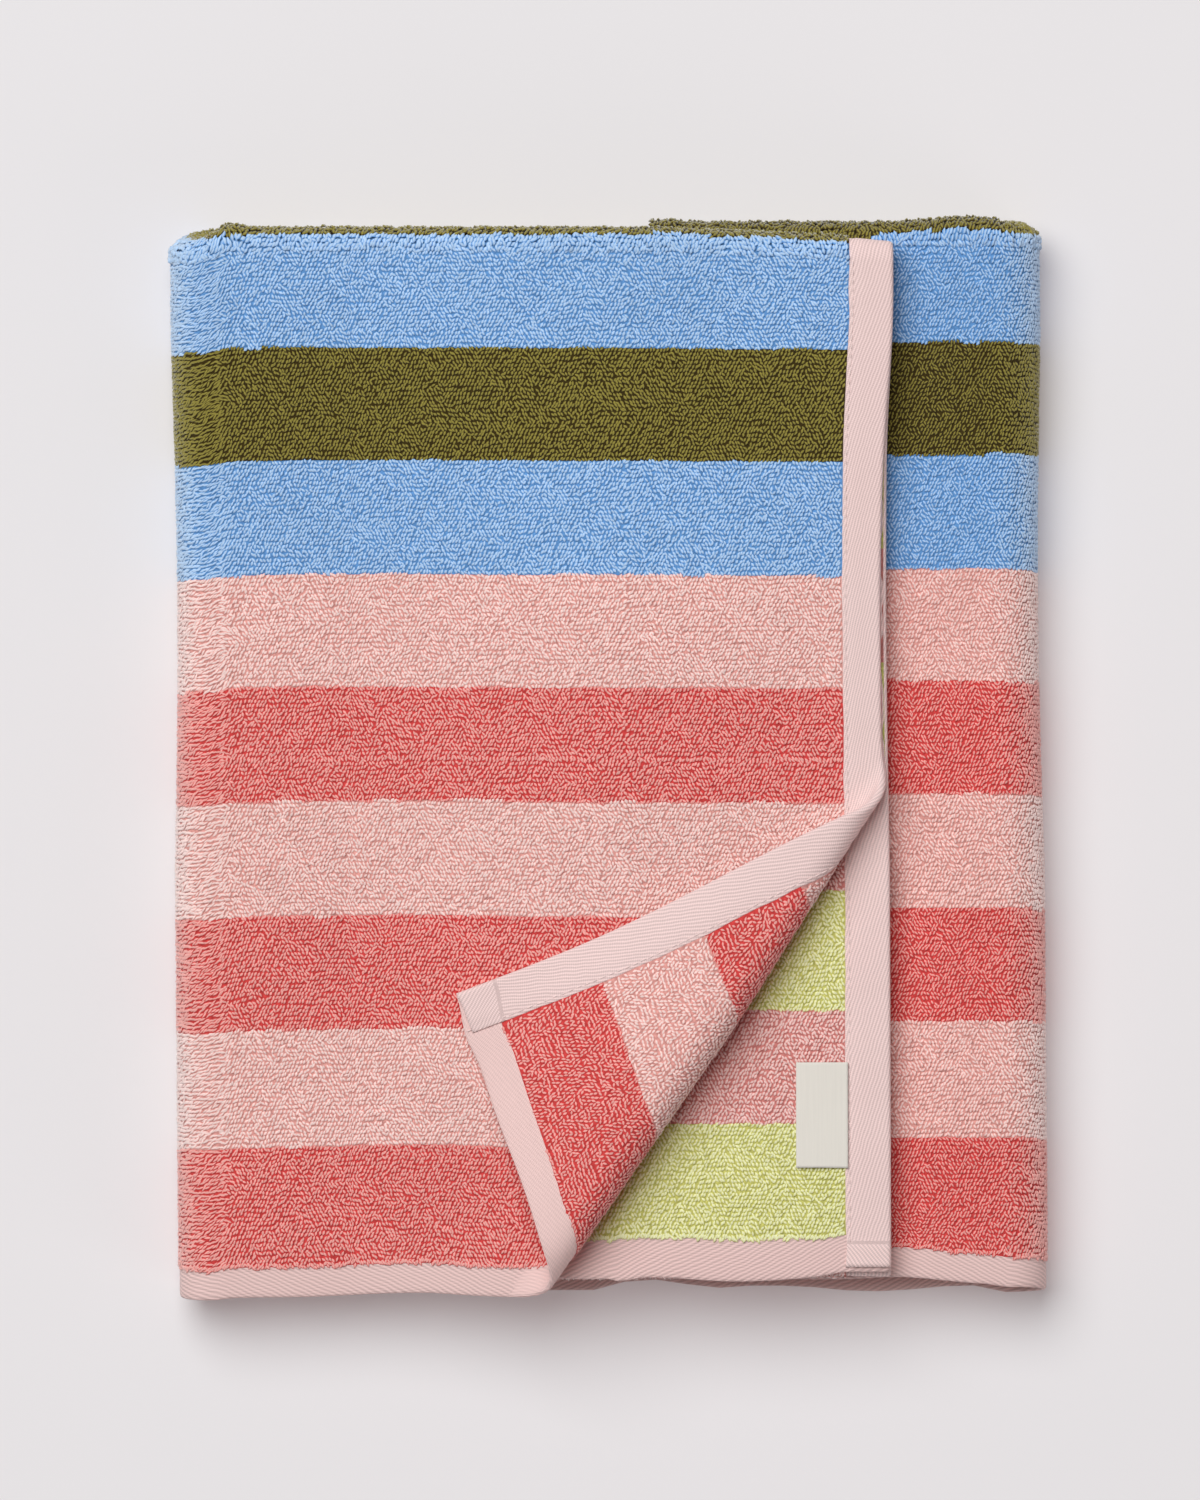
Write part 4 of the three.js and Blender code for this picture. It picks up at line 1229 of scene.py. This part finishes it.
def twill_material(name, yarn, spacing, slant, thread):
    """Cotton twill: fine slanting ribs of firm yarn with a little sheen."""
    material, tree = new_material(name)
    place = node(tree, "TexCoord").outputs["Object"]
    height, _ = twill_height(tree, place, spacing, slant, thread)
    # Fibres 0.4 mm apart
    fibre = node(tree, "TexNoise", inputs={"Vector": place, "Scale": 2400.0, "Detail": 2.0})
    shade = node(tree, "Math", height, 0.38, 0.72, operation="MULTIPLY_ADD")
    shade = node(tree, "Math", fibre, 0.1, shade, operation="MULTIPLY_ADD")
    colour = node(tree, "HueSaturation", inputs={"Value": shade, "Color": rgba(yarn)})
    bump = node(tree, "Bump", inputs={"Height": height, "Strength": 0.5, "Distance": 0.00025})
    finish_cotton(tree, colour, bump, 0.85, 0.2)
    return material


def ground_material(colours, sizes):
    """Terry ground: dyed colour deepened with painted shade between the loops, and flat twill hems at both
    ends.
    """
    material, tree = new_material("dyed cotton terry ground")
    place = node(tree, "TexCoord").outputs["Object"]
    colour, stripe = stripe_colour(tree, colours)
    # Loops as bumps, 1.3 mm apart, where no loops stand, with painted shade between the bumps
    cells = node(tree, "TexVoronoi", inputs={"Vector": place, "Scale": 760.0})
    knobs = node(tree, "Math", 1.0, cells, operation="SUBTRACT")
    shade = node(tree, "Math", knobs, 0.5, 0.6, operation="MULTIPLY_ADD")
    ground = node(tree, "HueSaturation", inputs={"Value": shade, "Color": painted_root_shade(tree, colour)})
    height, reverse = twill_height(tree, place, sizes.hem_twill_spacing / MM, 115.0, 0.62)
    shade = node(tree, "Math", height, 0.36, 0.75, operation="MULTIPLY_ADD")
    # The reverse of the hem is smoother, and paler
    shade = node(tree, "Math", reverse, 0.15, shade, operation="MULTIPLY_ADD")
    hem = node(tree, "HueSaturation", inputs={"Value": shade, "Color": rgba(colours.hem)})
    before = node(tree, "Math", stripe, 0.0, operation="LESS_THAN")
    after = node(tree, "Math", stripe, float(STRIPES), operation="GREATER_THAN")
    in_hem = node(tree, "Math", before, after, operation="ADD")
    knob_height = node(tree, "Math", knobs, 2.0, operation="MULTIPLY")
    surface, heights = (
        node(tree, "Mix", inputs={"Factor": in_hem, 6: low, 7: high}, data_type="RGBA").outputs[2]
        for low, high in ((ground, hem), (knob_height, height))
    )
    bump = node(tree, "Bump", inputs={"Height": heights, "Strength": 0.6, "Distance": 0.0003})
    finish_cotton(tree, surface, bump, 0.9, 0.2)
    return material


def thread_material(colours):
    """Spun polyester sewing thread: smoother than the tape, with a faint gleam."""
    material, tree = new_material("spun sewing thread")
    place = node(tree, "TexCoord").outputs["Object"]
    # The thread's twist, 0.33 mm apart
    twist = node(tree, "TexNoise", inputs={"Vector": place, "Scale": 3000.0})
    shade = node(tree, "Math", twist, 0.16, 0.9, operation="MULTIPLY_ADD")
    colour = node(tree, "HueSaturation", inputs={"Value": shade, "Color": rgba(colours.thread)})
    bump = node(tree, "Bump", inputs={"Height": twist, "Strength": 0.4, "Distance": 0.0001})
    finish_cotton(tree, colour, bump, 0.7, 0.1)
    return material


def label_material(colours):
    """Woven damask tab: dense cream threads with a satin gleam along its length."""
    material, tree = new_material("woven damask tab")
    weave = node(tree, "Attribute", attribute_name="weave").outputs["Vector"]
    # Threads 0.4 mm apart both ways, coarser than real so that they show
    waves = []
    for coordinate in node(tree, "SeparateXYZ", weave).outputs[:2]:
        turns = node(tree, "Math", coordinate, 2 * np.pi / 0.4, operation="MULTIPLY")
        waves.append(node(tree, "Math", turns, operation="SINE"))
    cloth = node(tree, "Math", *waves, operation="MULTIPLY")
    # Painted satin gleam: lighter and darker streaks along the tab's length
    stretched = node(tree, "VectorMath", weave, (1.6, 0.05, 1.0), operation="MULTIPLY")
    painted_gleam = node(tree, "TexNoise", inputs={"Vector": stretched, "Scale": 1.0})
    shade = node(tree, "Math", cloth, 0.015, 0.95, operation="MULTIPLY_ADD")
    shade = node(tree, "Math", painted_gleam, 0.09, shade, operation="MULTIPLY_ADD")
    colour = node(tree, "HueSaturation", inputs={"Value": shade, "Color": rgba(colours.label)})
    bump = node(tree, "Bump", inputs={"Height": cloth, "Strength": 0.35, "Distance": 0.0001})
    finish_cotton(tree, colour, bump, 0.6, 0.1)
    return material


def floor_material(colours):
    """Backlit acrylic board: part of its light comes from below, so shadows on it stay pale."""
    material, tree = new_material("backlit matt acrylic board")
    place = node(tree, "TexCoord").outputs["Object"]
    # Grain 1.1 mm apart
    grain = node(tree, "TexNoise", inputs={"Vector": place, "Scale": 900.0})
    bump = node(tree, "Bump", inputs={"Height": grain, "Strength": 0.03, "Distance": 0.0002})
    shader = node(tree, "BsdfPrincipled", inputs={
        "Base Color": rgba(colours.floor), "Roughness": 0.9, "Specular IOR Level": 0.1,
        "Emission Color": rgba(linear("#fff0f1")), "Emission Strength": 0.18, "Normal": bump,
    })
    node(tree, "OutputMaterial", shader)
    return material


# Operators


class TOWEL_OT_ground(bpy.types.Operator):
    """Build the woven ground of the terry with its two hems"""

    bl_idname = "towel.ground"
    bl_label = "Terry ground and hems"

    def execute(self, context):
        sizes, colours = context.scene.towel_sizes, context.scene.towel_colours
        points, faces, attributes, uv = ground_mesh(sizes)
        material = ground_material(colours, sizes)
        piece = new_piece("terry_ground", points, faces.tolist(), attributes, uv, [material])
        join_corner(piece)
        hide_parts("terry_cloth")
        return {"FINISHED"}


def join_corner(piece):
    """Joins the corner to its layer along the fold; the sheet has to come out closed."""
    shape = bmesh.new()
    shape.from_mesh(piece.data)
    bmesh.ops.remove_doubles(shape, verts=shape.verts, dist=2e-6)
    bmesh.ops.dissolve_degenerate(shape, dist=1e-7, edges=shape.edges)
    closed = all(len(edge.link_faces) == 2 for edge in shape.edges)
    shape.to_mesh(piece.data)
    shape.free()
    if not closed:
        raise RuntimeError("the terry ground has an open edge")


class TOWEL_OT_loops(bpy.types.Operator):
    """Stand the terry loops on every side that shows"""

    bl_idname = "towel.loops"
    bl_label = "Terry loops"

    def execute(self, context):
        sizes, colours = context.scene.towel_sizes, context.scene.towel_colours
        loop_pieces(sizes, terry_loop_material(colours))
        return {"FINISHED"}


class TOWEL_OT_bindings(bpy.types.Operator):
    """Fold the twill tape round both long edges"""

    bl_idname = "towel.bindings"
    bl_label = "Side bindings"

    def execute(self, context):
        sizes, colours = context.scene.towel_sizes, context.scene.towel_colours
        tape = twill_material("cotton twill tape", colours.tape, sizes.twill_spacing / MM, -17.0, 0.6)
        outer = swept_tape("outer_side_binding", outer_stations(), sizes, tape, 1.0)
        inner = swept_tape("inner_side_binding", inner_stations(), sizes, tape, 0.4)
        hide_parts("outer_binding")
        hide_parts("inner_binding")
        return {"FINISHED"}


class TOWEL_OT_stitches(bpy.types.Operator):
    """Sew the bindings down"""

    bl_idname = "towel.stitches"
    bl_label = "Stitches"

    def execute(self, context):
        sizes, colours = context.scene.towel_sizes, context.scene.towel_colours
        rng = np.random.default_rng(SEED + 40)
        inset = TOP_SELVAGE - sizes.tape_width / MM + 1.3
        face = 0.8 * PILE_REACH
        lines = [
            stitch_line(
                lambda b, a, h: top_layer_point(inset + a, np.maximum(b, flat_y(inset, 1.0)), face + h),
                flat_y(inset, 1.0) + 1, TOP_TURN_Y, sizes, rng,
            ),
            stitch_line(
                lambda b, a, h: top_layer_point(inset + a, b, -face - h),
                FACE_HEM_END + 1, flat_y(inset, -2.0), sizes, rng,
            ),
            stitch_line(
                lambda b, a, h: fold_point(top_place(inset + a), layer_run(b, SECOND, False), -face - h),
                REVERSE_HEM_END + 1, 0.0, sizes, rng,
            ),
        ]
        points, faces, start = [], [], 0
        for line_points, line_faces in lines:
            points.append(line_points)
            faces += [[v + start for v in face] for face in line_faces]
            start += len(line_points)
        points = np.concatenate(points)
        uv = unit_map(points[:, 0], points[:, 1])
        new_piece("binding_stitches", points, faces, {}, uv, [thread_material(colours)])
        return {"FINISHED"}


class TOWEL_OT_label(bpy.types.Operator):
    """Lay the blank label tab on the reverse, with its sewn edge under the binding"""

    bl_idname = "towel.label"
    bl_label = "Label tab"

    def execute(self, context):
        sizes, colours = context.scene.towel_sizes, context.scene.towel_colours
        low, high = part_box("label_tab")
        left = low.x / MM - 0.3
        right = left + sizes.label_reach / MM + 1.2
        top = high.y / MM - 1.2
        bottom = top - sizes.label_length / MM
        x, y = np.linspace(left, right, 26), np.linspace(top, bottom, 44)
        gx, gy = np.meshgrid(x, y)
        free = smooth((right - gx) / (right - left))
        curl = 0.35 * free + 0.22 * soft_noise(gx, gy, 9, SEED + 60) * free
        height = PILE_REACH + 0.12 + curl
        gy = gy + 0.15 * soft_noise(gx, gy, 12, SEED + 61)
        place = top_place(gx)
        sides = [
            fold_point(place, layer_run(gy, SECOND, False), -(height + extra)) for extra in (0.45, 0.0)
        ]
        up = np.arange(gx.size).reshape(gx.shape)
        down = up + up.size
        faces = np.concatenate([
            grid_faces(up, True), grid_faces(down),
            edge_faces(up[0], down[0]), edge_faces(up[-1], down[-1], True),
            edge_faces(up[:, 0], down[:, 0], True), edge_faces(up[:, -1], down[:, -1]),
        ])
        points = np.concatenate([side.reshape(-1, 3) for side in sides])
        across = np.tile(gx.ravel(), 2)
        along = np.tile(gy.ravel(), 2)
        uv = np.concatenate([unit_map(gx, gy, (0, 0), (0.49, 1)), unit_map(gx, gy, (0.51, 0), (1, 1))])
        attributes = {"weave": np.stack([across, along, 0 * along], -1)}
        material = label_material(colours)
        piece = new_piece("blank_label_tab", points, faces.tolist(), attributes, uv, [material])
        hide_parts("label_tab")
        return {"FINISHED"}


class TOWEL_OT_stage(bpy.types.Operator):
    """Lay the floor, hang the lights and set the camera"""

    bl_idname = "towel.stage"
    bl_label = "Floor, light and camera"

    def execute(self, context):
        scene = context.scene
        colours = scene.towel_colours
        reach = 6.0
        mesh = bpy.data.meshes.new("floor")
        corners = [(-reach, -reach, 0), (reach, -reach, 0), (reach, reach, 0), (-reach, reach, 0)]
        mesh.from_pydata(corners, [], [(0, 1, 2, 3)])
        mesh.materials.append(floor_material(colours))
        floor = bpy.data.objects.new("floor", mesh)
        scene.collection.objects.link(floor)
        self.lamp(scene, "overhead softbox", (-2.1, 2.9, 6.2), (0, 0, 0), 6.7, 592.0, "#fcffff")
        self.lamp(scene, "low fill", (2.4, -1.9, 0.85), (0, 0, 0), 2.0, 15.0, "#fff4f2")
        world = bpy.data.worlds.new("studio")
        world.use_nodes = True
        back = world.node_tree.nodes["Background"]
        back.inputs["Color"].default_value = rgba(linear("#fbfaff"))
        back.inputs["Strength"].default_value = 0.12
        scene.world = world
        scene.view_settings.view_transform = "Standard"
        camera_data = bpy.data.cameras.new("camera")
        camera = bpy.data.objects.new("camera", camera_data)
        scene.collection.objects.link(camera)
        # The picture is 1200 pixels wide, each 0.325 mm at the towel's upper side
        distance, picture_width, upper_side = 6.0, 0.390, 0.040
        camera_data.sensor_fit = "HORIZONTAL"
        camera_data.sensor_width = 36.0
        camera_data.lens = camera_data.sensor_width * distance / picture_width
        camera_data.clip_end = 20.0
        camera.location = (-0.0029, 0.0036, distance + upper_side)
        scene.camera = camera
        return {"FINISHED"}

    def lamp(self, scene, name, place, aim, size, power, hex_colour):
        """A round lamp at a place, turned to what it lights."""
        data = bpy.data.lights.new(name, "AREA")
        data.shape = "DISK"
        data.size = size
        data.energy = power
        data.color = linear(hex_colour)
        lamp = bpy.data.objects.new(name, data)
        scene.collection.objects.link(lamp)
        lamp.visible_camera = False
        lamp.location = place
        lamp.rotation_euler = (Vector(aim) - Vector(place)).to_track_quat("-Z", "Y").to_euler()


class TOWEL_PT_panel(bpy.types.Panel):
    """Lists the steps that build the towel"""

    bl_idname = "TOWEL_PT_panel"
    bl_label = "Folded towel"
    bl_space_type = "VIEW_3D"
    bl_region_type = "UI"
    bl_category = "Towel"

    def draw(self, context):
        for group in (context.scene.towel_sizes, context.scene.towel_colours):
            for key in group.__annotations__:
                self.layout.prop(group, key)
        for step in STEPS:
            self.layout.operator(step.bl_idname)


GROUPS = (TowelSizes, TowelColours)
STEPS = (
    TOWEL_OT_stage, TOWEL_OT_ground, TOWEL_OT_loops, TOWEL_OT_bindings, TOWEL_OT_stitches, TOWEL_OT_label,
)


def register():
    """Adds the towel's sizes, colours, steps and panel."""
    for cls in (*GROUPS, *STEPS, TOWEL_PT_panel):
        bpy.utils.register_class(cls)
    bpy.types.Scene.towel_sizes = PointerProperty(type=TowelSizes)
    bpy.types.Scene.towel_colours = PointerProperty(type=TowelColours)


def unregister():
    """Takes the towel's sizes, colours, steps and panel out again."""
    del bpy.types.Scene.towel_sizes
    del bpy.types.Scene.towel_colours
    for cls in (TOWEL_PT_panel, *reversed(STEPS), *reversed(GROUPS)):
        bpy.utils.unregister_class(cls)


def main():
    """Registers the steps and builds the towel with them."""
    register()
    bpy.ops.towel.stage()
    bpy.ops.towel.ground()
    bpy.ops.towel.loops()
    bpy.ops.towel.bindings()
    bpy.ops.towel.stitches()
    bpy.ops.towel.label()


if __name__ == "__main__":
    main()
